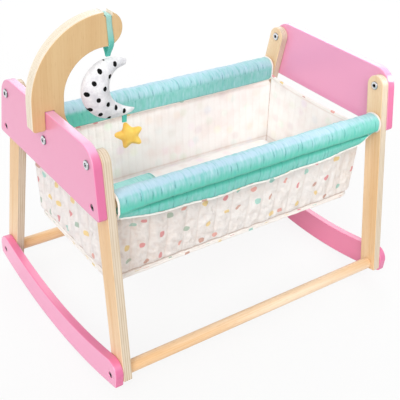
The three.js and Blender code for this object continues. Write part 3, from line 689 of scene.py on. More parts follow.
def cloth_layers(mesh, place, crease=0.0, seam=1.0, tone=0.5):
    """What a cloth finish reads at each point: its place on the cloth, how much painted shade it
    takes in folds, seams and shadows, how far off the nearest sewn line is, and how far up its
    painted sheen it lies."""
    count = len(mesh.vertices)
    store(mesh, "cloth_place", place, "FLOAT_VECTOR")
    for name, values in (("crease", crease), ("seam", seam), ("tone", tone)):
        store(mesh, name, np.broadcast_to(np.asarray(values, float).ravel(), (count,)).copy())


def rounded(corners, step=math.radians(4)):
    """The closed outline through corners (u, v, radius), turned on each radius."""
    points = []
    for i, (u, v, radius) in enumerate(corners):
        here = Vector((u, v))
        if radius <= 0:
            points.append(here)
            continue
        back = (Vector(corners[i - 1][:2]) - here).normalized()
        ahead = (Vector(corners[(i + 1) % len(corners)][:2]) - here).normalized()
        half = back.angle(ahead) / 2
        centre = here + (back + ahead).normalized() * radius / math.sin(half)
        spoke = here + back * radius / math.tan(half) - centre
        turn = math.pi - 2 * half
        sense = math.copysign(1, back.cross(ahead))
        count = max(1, round(turn / step))
        for k in range(count + 1):
            angle = -sense * turn * k / count
            points.append(centre + Matrix.Rotation(angle, 2) @ spoke)
    return [p for i, p in enumerate(points) if (p - points[i - 1]).length > 0.02 * MM]


def circle(u, v, radius, sides=40):
    return [Vector((u + radius * math.cos(2 * math.pi * k / sides),
                    v + radius * math.sin(2 * math.pi * k / sides))) for k in range(sides)]


def board(name, outline, holes, thickness, edge, place, material, node):
    """A board with rounded edges. The grain runs along v, and the plies lie across w."""
    curve = bpy.data.curves.new(name, "CURVE")
    curve.dimensions = "2D"
    curve.fill_mode = "BOTH"
    curve.extrude = thickness / 2 - edge
    curve.bevel_depth = edge
    curve.bevel_resolution = 3
    curve.offset = -edge
    for ring in (outline, *holes):
        spline = curve.splines.new("POLY")
        spline.points.add(len(ring) - 1)
        for point, (u, v) in zip(spline.points, ring):
            point.co = (u, v, 0, 1)
        spline.use_cyclic_u = True
    drawn = bpy.data.objects.new(name + "_drawn", curve)
    scene.collection.objects.link(drawn)
    solid = welded(bpy.data.meshes.new_from_object(
        drawn.evaluated_get(bpy.context.evaluated_depsgraph_get())), BOARD_WELD_GAP)
    bpy.data.objects.remove(drawn)
    bpy.data.curves.remove(curve)
    piece = finished(name, solid, material, node, place=place)
    weighted = piece.modifiers.new("even_faces", "WEIGHTED_NORMAL")
    weighted.keep_sharp = True


def turned(name, profile, sides, place, material, node):
    """A piece turned about its own v axis, from (along, radius) pairs. A radius may be a rule
    that gives the radius at an angle."""
    vertices = []
    rings = []
    for along, radius in profile:
        if radius == 0:
            rings.append([len(vertices)] * sides)
            vertices.append((0, along, 0))
            continue
        rings.append(list(range(len(vertices), len(vertices) + sides)))
        for k in range(sides):
            angle = 2 * math.pi * k / sides
            reach = radius(angle) if callable(radius) else radius
            vertices.append((reach * math.cos(angle), along, reach * math.sin(angle)))
    faces = []
    for low, high in zip(rings, rings[1:]):
        for k in range(sides):
            corners = (low[k], low[(k + 1) % sides], high[(k + 1) % sides], high[k])
            faces.append(tuple(dict.fromkeys(corners)))
    finished(name, mesh_of(name, vertices, faces), material, node, place=place,
             crease_angle=math.radians(32))


def run_along(path):
    """How far along its path each point lies."""
    steps = np.linalg.norm(np.diff(path, axis=0), axis=1)
    return np.concatenate([[0], np.cumsum(steps)])


def uneven(path, radius, amount, scale, seed):
    """A cord's radius at each point of its path, a little thicker and thinner along it."""
    swell = [noise.noise(Vector((s * scale, seed, 0))) for s in run_along(path)]
    return radius * (1 + amount * np.array(swell))


def tube(name, path, radius, sides, material, body="cradle", closed=True, crease=0.0):
    """A cord along a path, with one radius or one for each point. Its frame is carried along
    without twist."""
    path = np.asarray(path, float)
    count = len(path)
    if closed:
        tangents = np.roll(path, -1, 0) - np.roll(path, 1, 0)
    else:
        tangents = np.gradient(path, axis=0)
    tangents /= np.linalg.norm(tangents, axis=1)[:, None]
    start = np.cross(tangents[0], (0.3, 0.5, 0.81))
    normals = [start / np.linalg.norm(start)]
    for i in range(1, count):
        carried = normals[-1] - tangents[i] * (normals[-1] @ tangents[i])
        normals.append(carried / np.linalg.norm(carried))
    normals = np.array(normals)
    sideways = np.cross(tangents, normals)
    if closed:
        last = normals[-1] - tangents[0] * (normals[-1] @ tangents[0])
        twist = math.atan2(last @ sideways[0], last @ normals[0])
        turn = -twist * np.arange(count)[:, None] / count
        normals, sideways = (normals * np.cos(turn) + sideways * np.sin(turn),
                             sideways * np.cos(turn) - normals * np.sin(turn))
    run = run_along(path)
    reach = np.broadcast_to(radius, count)
    angles = 2 * math.pi * np.arange(sides) / sides
    rings = (path[:, None] + reach[:, None, None] * (
        normals[:, None] * np.cos(angles)[None, :, None]
        + sideways[:, None] * np.sin(angles)[None, :, None]))
    faces = []
    for i in range(count if closed else count - 1):
        faces += band(i * sides, (i + 1) % count * sides, sides)
    vertices = rings.reshape(-1, 3).tolist()
    if not closed:
        faces.append(tuple(range(sides)))
        faces.append(tuple(range((count - 1) * sides, count * sides)))
    mesh = mesh_of(name, vertices, faces)
    around = np.broadcast_to(angles[None, :] * reach[:, None], (count, sides))
    along = np.broadcast_to(run[:, None], (count, sides))
    cloth_layers(mesh, np.stack([along, around, 0 * around], -1),
                 np.repeat(np.broadcast_to(crease, count), sides))
    finished(name, mesh, material, body=body)


def skin_of(name, front, back):
    """A closed skin from two grids of points, its front and its back."""
    columns, rows = front.shape[:2]

    def at(side, i, j):
        return side * columns * rows + i * rows + j
    faces = []
    for i in range(columns - 1):
        for j in range(rows - 1):
            faces.append((at(0, i, j), at(0, i + 1, j), at(0, i + 1, j + 1), at(0, i, j + 1)))
            faces.append((at(1, i, j), at(1, i, j + 1), at(1, i + 1, j + 1), at(1, i + 1, j)))
    rim = [(i, 0) for i in range(columns - 1)]
    rim += [(columns - 1, j) for j in range(rows - 1)]
    rim += [(i, rows - 1) for i in range(columns - 1, 0, -1)]
    rim += [(0, j) for j in range(rows - 1, 0, -1)]
    for here, there in zip(rim, rim[1:] + rim[:1]):
        faces.append((at(0, *here), at(1, *here), at(1, *there), at(0, *there)))
    return mesh_of(name, np.vstack([front.reshape(-1, 3), back.reshape(-1, 3)]), faces)


def rippled(points, scale, seed, octaves=2):
    """Smooth noise from about -1 to 1 at each (u, v) point, the same in every run."""
    flat = points.reshape(-1, points.shape[-1])
    values = [noise.fractal(Vector((p[0] * scale, p[1] * scale, seed)), 1.0, 2.0, octaves)
              for p in flat]
    return np.array(values).reshape(points.shape[:-1])


def bell(distance, width):
    return np.exp(-(distance / width) ** 2)


def eased(value, low, high):
    share = np.clip((value - low) / (high - low), 0, 1)
    return share * share * (3 - 2 * share)


def nearest_line(along, spacing, jitter, seed):
    """How far each place is from the nearest of the lines that lie a spacing apart."""
    first = int(np.floor(along.min() / spacing)) - 1
    last = int(np.ceil(along.max() / spacing)) + 1
    best = np.full(along.shape, 1.0)
    for k in range(first, last + 1):
        gap = along - spacing * (k + jitter * noise.noise(Vector((k * 3.7, seed, 0.5))))
        best = np.where(np.abs(gap) < np.abs(best), gap, best)
    return best


def hollows(relief, rounds, depth):
    """How far each place of a relief lies below the cloth round it, as a share of a depth."""
    blurred = relief
    for _ in range(rounds):
        for axis in (0, 1):
            ends = [(1, 1) if i == axis else (0, 0) for i in (0, 1)]
            wide = np.pad(blurred, ends, mode="edge")
            back, ahead = (np.take(wide, range(i, wide.shape[axis] - 2 + i), axis) for i in (0, 2))
            blurred = (back + 2 * blurred + ahead) / 4
    return np.clip((blurred - relief) / depth, 0, 1)


# Wooden frame

def at_end(end, x, y, z):
    """A place at the left end, whose outer faces look to -X, or its match at the right."""
    half_turn = Matrix.Rotation(0 if end == "left" else math.pi, 4, "Z")
    return Matrix.Translation((CENTRE_X, 0, 0)) @ half_turn @ Matrix.Translation((x, y, z))


def painted_board(end, part, outline, holes):
    place = at_end(end, PANEL_THICKNESS / 2 - PANEL_OUTER, 0, 0) @ FACING_X
    board(f"{end}_painted_{part}", outline, holes, PANEL_THICKNESS, PAINT_EDGE, place, PINK,
          f"{end}_{part}")


def hole_pair(out, height, radius):
    return [circle(side * out, height, radius) for side in (-1, 1)]


def panel(end):
    side_offset = (POST_WIDTH / 2 + PANEL_MARGIN) / math.cos(LEAN)

    def side(height):
        return BOLT_OUT + (BOLT_HEIGHT - height) * math.tan(LEAN) + side_offset
    outline = rounded([
        (-side(PANEL_LOW.z), PANEL_LOW.z, PANEL_BOTTOM_ROUND),
        (side(PANEL_LOW.z), PANEL_LOW.z, PANEL_BOTTOM_ROUND),
        (side(PANEL_HIGH.z), PANEL_HIGH.z, PANEL_TOP_ROUND),
        (-side(PANEL_HIGH.z), PANEL_HIGH.z, PANEL_TOP_ROUND)])
    holes = hole_pair(BOLT_OUT, BOLT_HEIGHT, BOLT_HOLE)
    holes += hole_pair(RAIL_OUT, RAIL_HEIGHT, SCREW_HOLE)
    if end == "left":
        holes.append(circle(0, ARM_BOLT_HEIGHT, BOLT_HOLE))
    painted_board(end, "panel", outline, holes)


def rocker(end):
    heel = STRETCHER_OUT + ROCKER_HEEL_PAST
    tip = STRETCHER_OUT + ROCKER_TIP_PAST
    inner = ROCKER_RADIUS - ROCKER_DEPTH
    steps = 60
    heel_angle = math.asin(heel / ROCKER_RADIUS)
    corners = []
    for k in range(steps + 1):
        angle = heel_angle * (2 * k / steps - 1)
        corners.append([ROCKER_RADIUS * math.sin(angle),
                        ROCKER_RADIUS * (1 - math.cos(angle)), 0])
    corners[0][2] = corners[-1][2] = ROCKER_HEEL_ROUND
    # the short pieces beside a rounded corner would be shorter than its tangent
    del corners[1], corners[-2]
    tip_angle = math.asin(tip / inner)
    tip_height = ROCKER_RADIUS - inner * math.cos(tip_angle)
    corners.append((tip, tip_height, ROCKER_TIP_ROUND))
    for k in range(5, steps - 4):
        angle = tip_angle * (1 - 2 * k / steps)
        corners.append((inner * math.sin(angle), ROCKER_RADIUS - inner * math.cos(angle), 0))
    corners.append((-tip, tip_height, ROCKER_TIP_ROUND))
    holes = hole_pair(STRETCHER_OUT, STRETCHER_HEIGHT, SCREW_HOLE)
    painted_board(end, "rocker", rounded(corners), holes)


def post(end, side, node):
    half = POST_WIDTH / 2
    runs = [(BOLT_HEIGHT - height) / math.cos(LEAN) for height in (RAIL_HEIGHT, STRETCHER_HEIGHT)]
    foot = runs[1] + POST_TAIL
    outline = rounded([(-half, -foot, POST_FOOT_ROUND), (half, -foot, POST_FOOT_ROUND),
                       (half, half, half), (-half, half, half)])
    holes = [circle(0, 0, BOLT_HOLE), *(circle(0, -run, PILOT_HOLE) for run in runs)]
    place = at_end(end, -(POST_OUTER + POST_INNER) / 2, side * BOLT_OUT, BOLT_HEIGHT)
    board(f"{node}_board", outline, holes, POST_OUTER - POST_INNER, WOOD_EDGE,
          place @ Matrix.Rotation(side * LEAN, 4, "X") @ FACING_X, POST_PLY, node)


def hexagon(across_half):
    """Radius rule of a hexagonal socket."""
    sixth = math.pi / 3
    return lambda angle: across_half / math.cos((angle + sixth / 2) % sixth - sixth / 2)


def cap_profile(shank, reach):
    """A bolt's or nut's domed cap with its socket, and the shank behind it."""
    socket = hexagon(CAP_SOCKET)
    floor = CAP_SOCKET_DEPTH - CAP_HEIGHT
    return [(floor, 0), (floor, socket), (-CAP_HEIGHT + 0.25 * MM, socket),
            (-CAP_HEIGHT, CAP_SOCKET * 1.22),
            *((-CAP_HEIGHT + along * MM, radius * MM) for along, radius in CAP_DOME),
            (-0.3 * MM, CAP_RADIUS), (0, CAP_RADIUS - 0.2 * MM), (0, shank),
            (reach - 0.8 * MM, shank), (reach, shank - 0.6 * MM), (reach, 0)]


def screw_profile():
    """A countersunk head with its socket, and the shank behind it."""
    socket = hexagon(SCREW_SOCKET)
    return [(SCREW_SOCKET_DEPTH, 0), (SCREW_SOCKET_DEPTH, socket), (0.15 * MM, socket),
            (0, SCREW_SOCKET * 1.2), (0, SCREW_HEAD - 0.5 * MM), (0.15 * MM, SCREW_HEAD - 0.15 * MM),
            (0.5 * MM, SCREW_HEAD), (SCREW_HEAD_DEPTH, SCREW_HEAD), (SCREW_HEAD_DEPTH, SCREW_SHANK),
            (SCREW_REACH, SCREW_SHANK), (SCREW_REACH, 0)]


def screw_place(end, x, side, y, z, turn, back=False):
    """A fastener's place at an end, its head outwards, or inwards if it goes in backwards."""
    about = Matrix.Rotation(math.pi if back else 0, 4, "Z")
    return at_end(end, x, side * y, z) @ about @ ALONG_X @ Matrix.Rotation(turn, 4, "Y")


def fasteners(end, side, where, seed):
    turn = noise.noise(Vector((seed, 0.3, 0.7))) * 2
    for part, profile, x, spin in (
            ("bolt", cap_profile(BOLT_SHANK, BOLT_REACH), -PANEL_OUTER - CAP_GAP, turn),
            ("nut", cap_profile(NUT_SHANK, NUT_REACH), -POST_INNER + CAP_GAP, -turn)):
        place = screw_place(end, x, side, BOLT_OUT, BOLT_HEIGHT, spin, part == "nut")
        turned(f"{where}_capped_{part}", profile, 48, place, CHROME, f"{where}_cap_{part}")
    for use, out, height in (("rail", RAIL_OUT, RAIL_HEIGHT),
                             ("rocker", STRETCHER_OUT, STRETCHER_HEIGHT)):
        place = screw_place(end, -PANEL_OUTER + SCREW_SINK, side, out, height, turn * 2)
        turned(f"{where}_{use}_countersunk_screw", screw_profile(), 36, place, STEEL,
               f"{where}_{use}_screw")
        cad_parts[f"{where}_{use}_insert"].data.materials[0] = STEEL


def rod(node):
    radius = spans(node)[1] / 2
    half = ROD_HALF
    floor = half - DOWEL_BORE_DEPTH
    profile = [(-floor, 0), (-floor, DOWEL_BORE), (-half, DOWEL_BORE), (-half, radius - DOWEL_EDGE)]
    profile += [(-half + DOWEL_EDGE * (1 - math.cos(a)), radius - DOWEL_EDGE * (1 - math.sin(a)))
                for a in (math.pi / 6, math.pi / 3, math.pi / 2)]
    other_half = [(-along, reach) for along, reach in reversed(profile)]
    turned(f"{node}_dowel", profile + other_half, 64, Matrix.Translation(middle(node)) @ ALONG_X,
           ROD_WOOD, node)


def arm():
    outer_x = ARM_LOW.x
    inner_x = outer_x + ARM_WIDTH
    foot_x = inner_x + ARM_FOOT_STEP
    tip_x = outer_x + ARM_SPAN
    top = ARM_HIGH.z
    inner_top = top - ARM_WIDTH
    tip_round = ARM_WIDTH / 2
    panel_face = CENTRE_X - PANEL_OUTER
    slot_outer = panel_face - SLOT_GAP
    slot_inner = panel_face + PANEL_THICKNESS + SLOT_GAP
    flare = PANEL_HIGH.z - ARM_FLARE_DROP
    toe = PANEL_HIGH.z - ARM_TOE_DROP
    outline = rounded([
        (outer_x, toe, ARM_FOOT_CORNER), (outer_x, top, ARM_OUTER_RADIUS), (tip_x, top, tip_round),
        (tip_x, inner_top, tip_round), (inner_x, inner_top, ARM_OUTER_RADIUS - ARM_WIDTH),
        (inner_x, flare, ARM_FLARE_RADIUS), (foot_x, flare - ARM_FOOT_STEP, ARM_FOOT_ROUND),
        (foot_x, ARM_LOW.z, ARM_FOOT_CORNER), (slot_inner, ARM_LOW.z, SLOT_MOUTH_ROUND),
        (slot_inner, PANEL_HIGH.z + SLOT_GAP, 0), (slot_outer, PANEL_HIGH.z + SLOT_GAP, 0),
        (slot_outer, toe, SLOT_MOUTH_ROUND)], math.radians(3))
    notched = cut_notch(outline, NOTCH_X, top - NOTCH_DEPTH)
    hole = circle(middle("arm_barrel_nut").x, ARM_BOLT_HEIGHT, BARREL_HOLE)
    board("moon_arm_board", notched, [hole], spans("moon_arm")[1], ARM_EDGE, FACING_Y, ARM_PLY,
          "moon_arm")
    turned("arm_capped_bolt", cap_profile(BOLT_SHANK, ARM_BOLT_REACH), 48,
           Matrix.Translation((panel_face - SLOT_GAP, 0, ARM_BOLT_HEIGHT)) @ ALONG_X
           @ Matrix.Rotation(ARM_BOLT_TURN, 4, "Y"), CHROME, "arm_bolt")
    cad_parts["arm_barrel_nut"].data.materials[0] = STEEL


def cut_notch(outline, centre, floor):
    """The outline with a square notch cut down from its top edge."""
    left, right = centre - NOTCH_WIDTH / 2, centre + NOTCH_WIDTH / 2

    def edge_height(u):
        pairs = zip(outline, outline[1:] + outline[:1])
        return max(a.y + (b.y - a.y) * (u - a.x) / (b.x - a.x) for a, b in pairs
                   if min(a.x, b.x) <= u <= max(a.x, b.x) and a.x != b.x)
    result = []
    done = False
    for point in outline:
        if left - 0.3 * MM < point.x < right + 0.3 * MM and point.y > floor:
            if not done:
                result += [Vector((left, edge_height(left))), Vector((left, floor)),
                           Vector((right, floor)), Vector((right, edge_height(right)))]
                done = True
            continue
        result.append(point)
    return result


# Padded rail sleeves

def sleeve_outline():
    """The sleeve's section about the rail's centre, u outwards: roll, outer flap, inner flap."""
    wrap, face = SLEEVE_WRAP, SLEEVE_WRAP + SLEEVE_PUFF
    chin = face - 5.6 * MM
    corners = rounded([
        (-wrap, wrap, wrap - 0.1 * MM), (face, wrap, wrap - 0.1 * MM), (face, -8.5 * MM, 5 * MM),
        (chin, -CHIN_DROP, 0.7 * MM), (chin + 3.2 * MM, -19 * MM, 7 * MM),
        (chin + 1.4 * MM, -HEM_DROP, 1.2 * MM), (chin + 1.4 * MM - FLAP_CLOTH, -HEM_DROP, 1.2 * MM),
        (chin - FLAP_CLOTH, -CHIN_DROP, 1 * MM), (FLAP_CLOTH - wrap, -CHIN_DROP, 1 * MM),
        (FLAP_CLOTH - wrap, -INNER_DROP, 1.2 * MM), (-wrap, -INNER_DROP, 1.2 * MM)],
        math.radians(12))
    return resampled(np.array(corners), SLEEVE_STEP)


def resampled(ring, spacing):
    """A closed outline with its points an even distance apart."""
    loop = np.vstack([ring, ring[:1]])
    run = run_along(loop)
    count = int(run[-1] / spacing)
    at = np.linspace(0, run[-1], count, endpoint=False)
    return np.stack([np.interp(at, run, loop[:, i]) for i in range(2)], 1)


def sleeve_shape(outline, x, seed):
    """The outline at each station x, as (stations, points, 2), and the cloth's layers."""
    flat_u, flat_v = outline.T
    u, v = (np.tile(side, (len(x), 1)) for side in (flat_u, flat_v))
    share = (x / SLEEVE_HALF)[:, None]
    outward = np.roll(outline, -1, 0) - np.roll(outline, 1, 0)
    outward = np.stack([-outward[:, 1], outward[:, 0]], 1)
    outward /= np.linalg.norm(outward, axis=1)[:, None]
    run = np.arange(len(outline)) * SLEEVE_STEP
    along, around = np.broadcast_arrays(x[:, None], run[None, :])
    on_outer = (flat_u > 2 * MM)[None, :]
    on_roll = eased(v, -CHIN_DROP - 2 * MM, -8 * MM)
    below = np.clip((-v - CHIN_DROP) / (HEM_DROP - CHIN_DROP), 0, 1.2)
    # gathers: sewn pleats across the roll, with slanting ruffles between them
    slanted = np.stack([along + 0.22 * around, around * 0.24], -1)
    drift = 1.6 * MM * rippled(np.stack([along, around], -1), 45, seed + 8)
    pleat = nearest_line(along + drift + 0.06 * around, PLEAT_SPACING, 0.6, seed)
    held = eased(0.5 + 0.5 * rippled(np.stack([along * 0.6, around * 1.2], -1), 60, seed), 0.25, 0.45)
    ruffle = rippled(slanted, 190, seed + 1, 3)
    belt = bell(flat_v - 3 * MM, 6 * MM)[None, :]
    dent = -0.4 * MM * bell(pleat, 1.2 * MM) * belt * held
    dent = dent + 0.15 * MM * (1 - bell(pleat, 6 * MM)) * belt + 0.5 * MM * ruffle
    dent = dent + 0.6 * MM * rippled(np.stack([along, around * 0.7], -1), 30, seed + 2)
    shown = np.where(on_outer | (v > -CHIN_DROP), 1.0, 0.35)
    u += outward[None, :, 0] * dent * shown
    v += outward[None, :, 1] * dent * shown
    # the fold under the roll opens out near the end where the stuffing fills it
    fill = eased(-share, 0.78, 0.97)
    fold = bell(flat_v + CHIN_DROP, 5 * MM)[None, :] * on_outer
    u += 3.6 * MM * fill * fold
    # the flaps hang lowest in the middle, and the outer one waves and tucks up at the far end
    rise = FLAP_RISE * np.abs(share) ** 3 + 14 * MM * eased(share, 0.84, 0.98)
    v += rise * below * np.where(on_outer, 1.0, INNER_RISE)
    wave = 1.3 * MM * np.sin(2 * math.pi * x / FLAP_WAVE)[:, None]
    u += wave * below * on_outer
    # painted shade: along the pleats, in the dents, just above the hem and in the fold under the
    # roll, less where the stuffing fills that fold
    gathered = np.maximum(belt * on_roll, 1.3 * np.minimum(below, 0.8) * on_outer)
    crease = 0.55 * bell(pleat, 0.9 * MM) * held * gathered
    crease += 0.45 * hollows(dent, 3, 0.4 * MM)
    crease += 0.6 * bell(flat_v + HEM_DROP - 1 * MM, 1.6 * MM)[None, :]
    near_fold = flat_v + CHIN_DROP
    dark = np.where(near_fold < 0, bell(near_fold, 4.5 * MM), bell(near_fold, 1.6 * MM))
    crease += dark[None, :] * on_outer * (1 - fill)
    return np.stack([u, v], -1), np.clip(crease, 0, 1), pleat, sleeve_painted_sheen(flat_u, flat_v, share)


def sleeve_painted_sheen(u, v, share):
    """How far up the painted sheen each point lies: palest over the crown, fading along the sleeve.
    """
    outside = 0.52 * eased(v, -9 * MM, 7 * MM)
    outside = outside + 0.46 * eased(v, 8 * MM, 12.5 * MM)
    outside = outside + 0.3 * eased(-v, 13 * MM, 19 * MM)
    outside = outside[None, :] * (1 - 0.35 * eased(share, 0.45, 0.85))
    low_part = eased(-v, -6 * MM, 2 * MM)[None, :]
    inside = 0.66 - 0.24 * low_part + (0.1 - 0.55 * low_part) * eased(-share, 0.3, 0.85)
    inward = eased(-u, -7 * MM, 4 * MM)[None, :]
    return outside * (1 - inward) + inside * inward


def sleeve(where, side, seed):
    outline = sleeve_outline()
    stations = np.linspace(-SLEEVE_HALF, SLEEVE_HALF, SLEEVE_STATIONS)
    shape, crease, pleat, tone = sleeve_shape(outline, stations, seed)
    count = len(outline)
    bore = np.array(circle(0, 0, SLEEVE_BORE, 48))

    def placed(x, section):
        return np.stack(np.broadcast_arrays(
            CENTRE_X + x, side * (RAIL_OUT + section[..., 0]), RAIL_HEIGHT + section[..., 1]), -1)
    points = np.vstack([placed(stations[:, None], shape).reshape(-1, 3),
                        placed(stations[0], bore), placed(stations[-1], bore)])
    total = len(stations) * count
    sides = len(bore)
    faces = []
    for i in range(len(stations) - 1):
        faces += band(i * count, (i + 1) * count, count)
    faces += band(total, total + sides, sides)
    for first, hole in ((0, total), (total - count, total + sides)):
        rings = [range(first, first + count), range(hole, hole + sides)]
        loops = [[Vector(points[i]) for i in ring] for ring in rings]
        names = [*rings[0], *rings[1]]
        faces += [tuple(names[i] for i in triangle) for triangle in tessellate_polygon(loops)]
    mesh = mesh_of(f"{where}_sleeve_cloth", points, faces)
    run = np.arange(count) * SLEEVE_STEP
    cloth = np.stack(np.broadcast_arrays(stations[:, None], run[None, :], 0.0), -1)
    bare = np.zeros(2 * sides)
    cloth_layers(mesh, np.vstack([cloth.reshape(-1, 3), np.zeros((2 * sides, 3))]),
                 *(np.concatenate([layer.ravel(), bare]) for layer in (crease, pleat, tone)))
    piece = finished(f"{where}_sleeve_cloth", mesh, SLEEVE_CLOTH, f"{where}_sleeve")
    sleeve_binding(where, side, outline, stations, shape)


def sleeve_binding(where, side, outline, stations, shape):
    """One cord sewn round the sleeve's whole edge: both hems and both ends."""
    hem = int(np.argmin(outline[:, 1] - 0.01 * outline[:, 0]))
    inner = int(np.argmin(np.hypot(outline[:, 0] + SLEEVE_WRAP - FLAP_CLOTH / 2,
                                   outline[:, 1] + INNER_DROP)))
    count = len(outline)
    around = [(hem - k) % count for k in range((hem - inner) % count + 1)]

    def point(i, k, dx=0.0, dz=0.0):
        u, v = shape[i, k]
        return (CENTRE_X + stations[i] + dx, side * (RAIL_OUT + u), RAIL_HEIGHT + v + dz)
    # each part: its points, its cord's radius and the painted shade that it takes, most on the inner
    # hem
    parts = (
        ([point(i, hem, dz=-0.9 * HEM_PIPING) for i in range(3, len(stations) - 3, 2)],
         HEM_PIPING, 0.0),
        ([point(-1, k, dx=0.6 * END_PIPING) for k in around[2:-2]], END_PIPING, 0.25),
        ([point(i, inner, dz=-0.9 * INNER_PIPING) for i in range(len(stations) - 4, 2, -2)],
         INNER_PIPING, 0.5),
        ([point(0, k, dx=-0.6 * END_PIPING) for k in reversed(around[2:-2])], END_PIPING, 0.1))
    rows = np.array([(*at, radius, shade) for places, radius, shade in parts for at in places])
    rows = softened(rows, 3)
    path = rows[:, :3]
    thick = uneven(path, rows[:, 3], amount=0.16, scale=160, seed=side)
    tube(f"{where}_sleeve_piping", path, thick, 10, PIPING_CLOTH, crease=rows[:, 4])


def softened(path, rounds):
    """A closed path with its sharp turns eased."""
    for _ in range(rounds):
        path = (np.roll(path, 1, 0) + 2 * path + np.roll(path, -1, 0)) / 4
    return path


# Cloth basket

def basket_plan(height):
    """The basket's outline at a height: half length, half width and corner radius, how far it
    lies along X, and how far its corners are drawn in between the sleeves."""
    drop = (WALL_TOP - height) / (WALL_TOP - BASKET_BOTTOM)
    low = 1 - eased(height - WALL_BOTTOM, 0, BASE_CURVE_RISE)
    length = SLEEVE_HALF - drop * (LEFT_RAKE + RIGHT_RAKE) / 2 - BASE_TUCK * low
    width = RAIL_OUT - WALL_IN_FROM_RAIL - drop * SIDE_RAKE - BASE_TUCK * low
    radius = TOP_CORNER_ROUND + CORNER_WIDENS * drop + BASE_CORNER_WIDENS * low
    return length, width, radius, drop * (LEFT_RAKE - RIGHT_RAKE) / 2, CORNER_TUCK * (1 - drop)


def sag(x):
    """How far the basket's bottom hangs lower towards its left end."""
    return LEFT_SAG * eased(-x, 60 * MM, SLEEVE_HALF)


def wall_run(half_run, half_across, radius, share):
    """Points along one side of a rounded rectangle, out to the middle of its corners: how far
    each is along the cloth, its place, and the way that the wall faces there."""
    straight = half_run - radius
    total = straight + radius * math.pi / 4 * 0.985
    paced = share * total
    over = np.clip(np.abs(paced) - straight, 0, None) / radius
    along = np.sign(paced) * (np.minimum(np.abs(paced), straight) + radius * np.sin(over))
    across = half_across - radius * (1 - np.cos(over))
    return paced, along, across, np.sign(paced) * np.sin(over), np.cos(over)


def hem_height(share, drop, rise, piping):
    """How high a sleeve's hem hangs beside a wall, with its piping."""
    return RAIL_HEIGHT - drop + rise * np.abs(share) ** 3 - 2 * piping


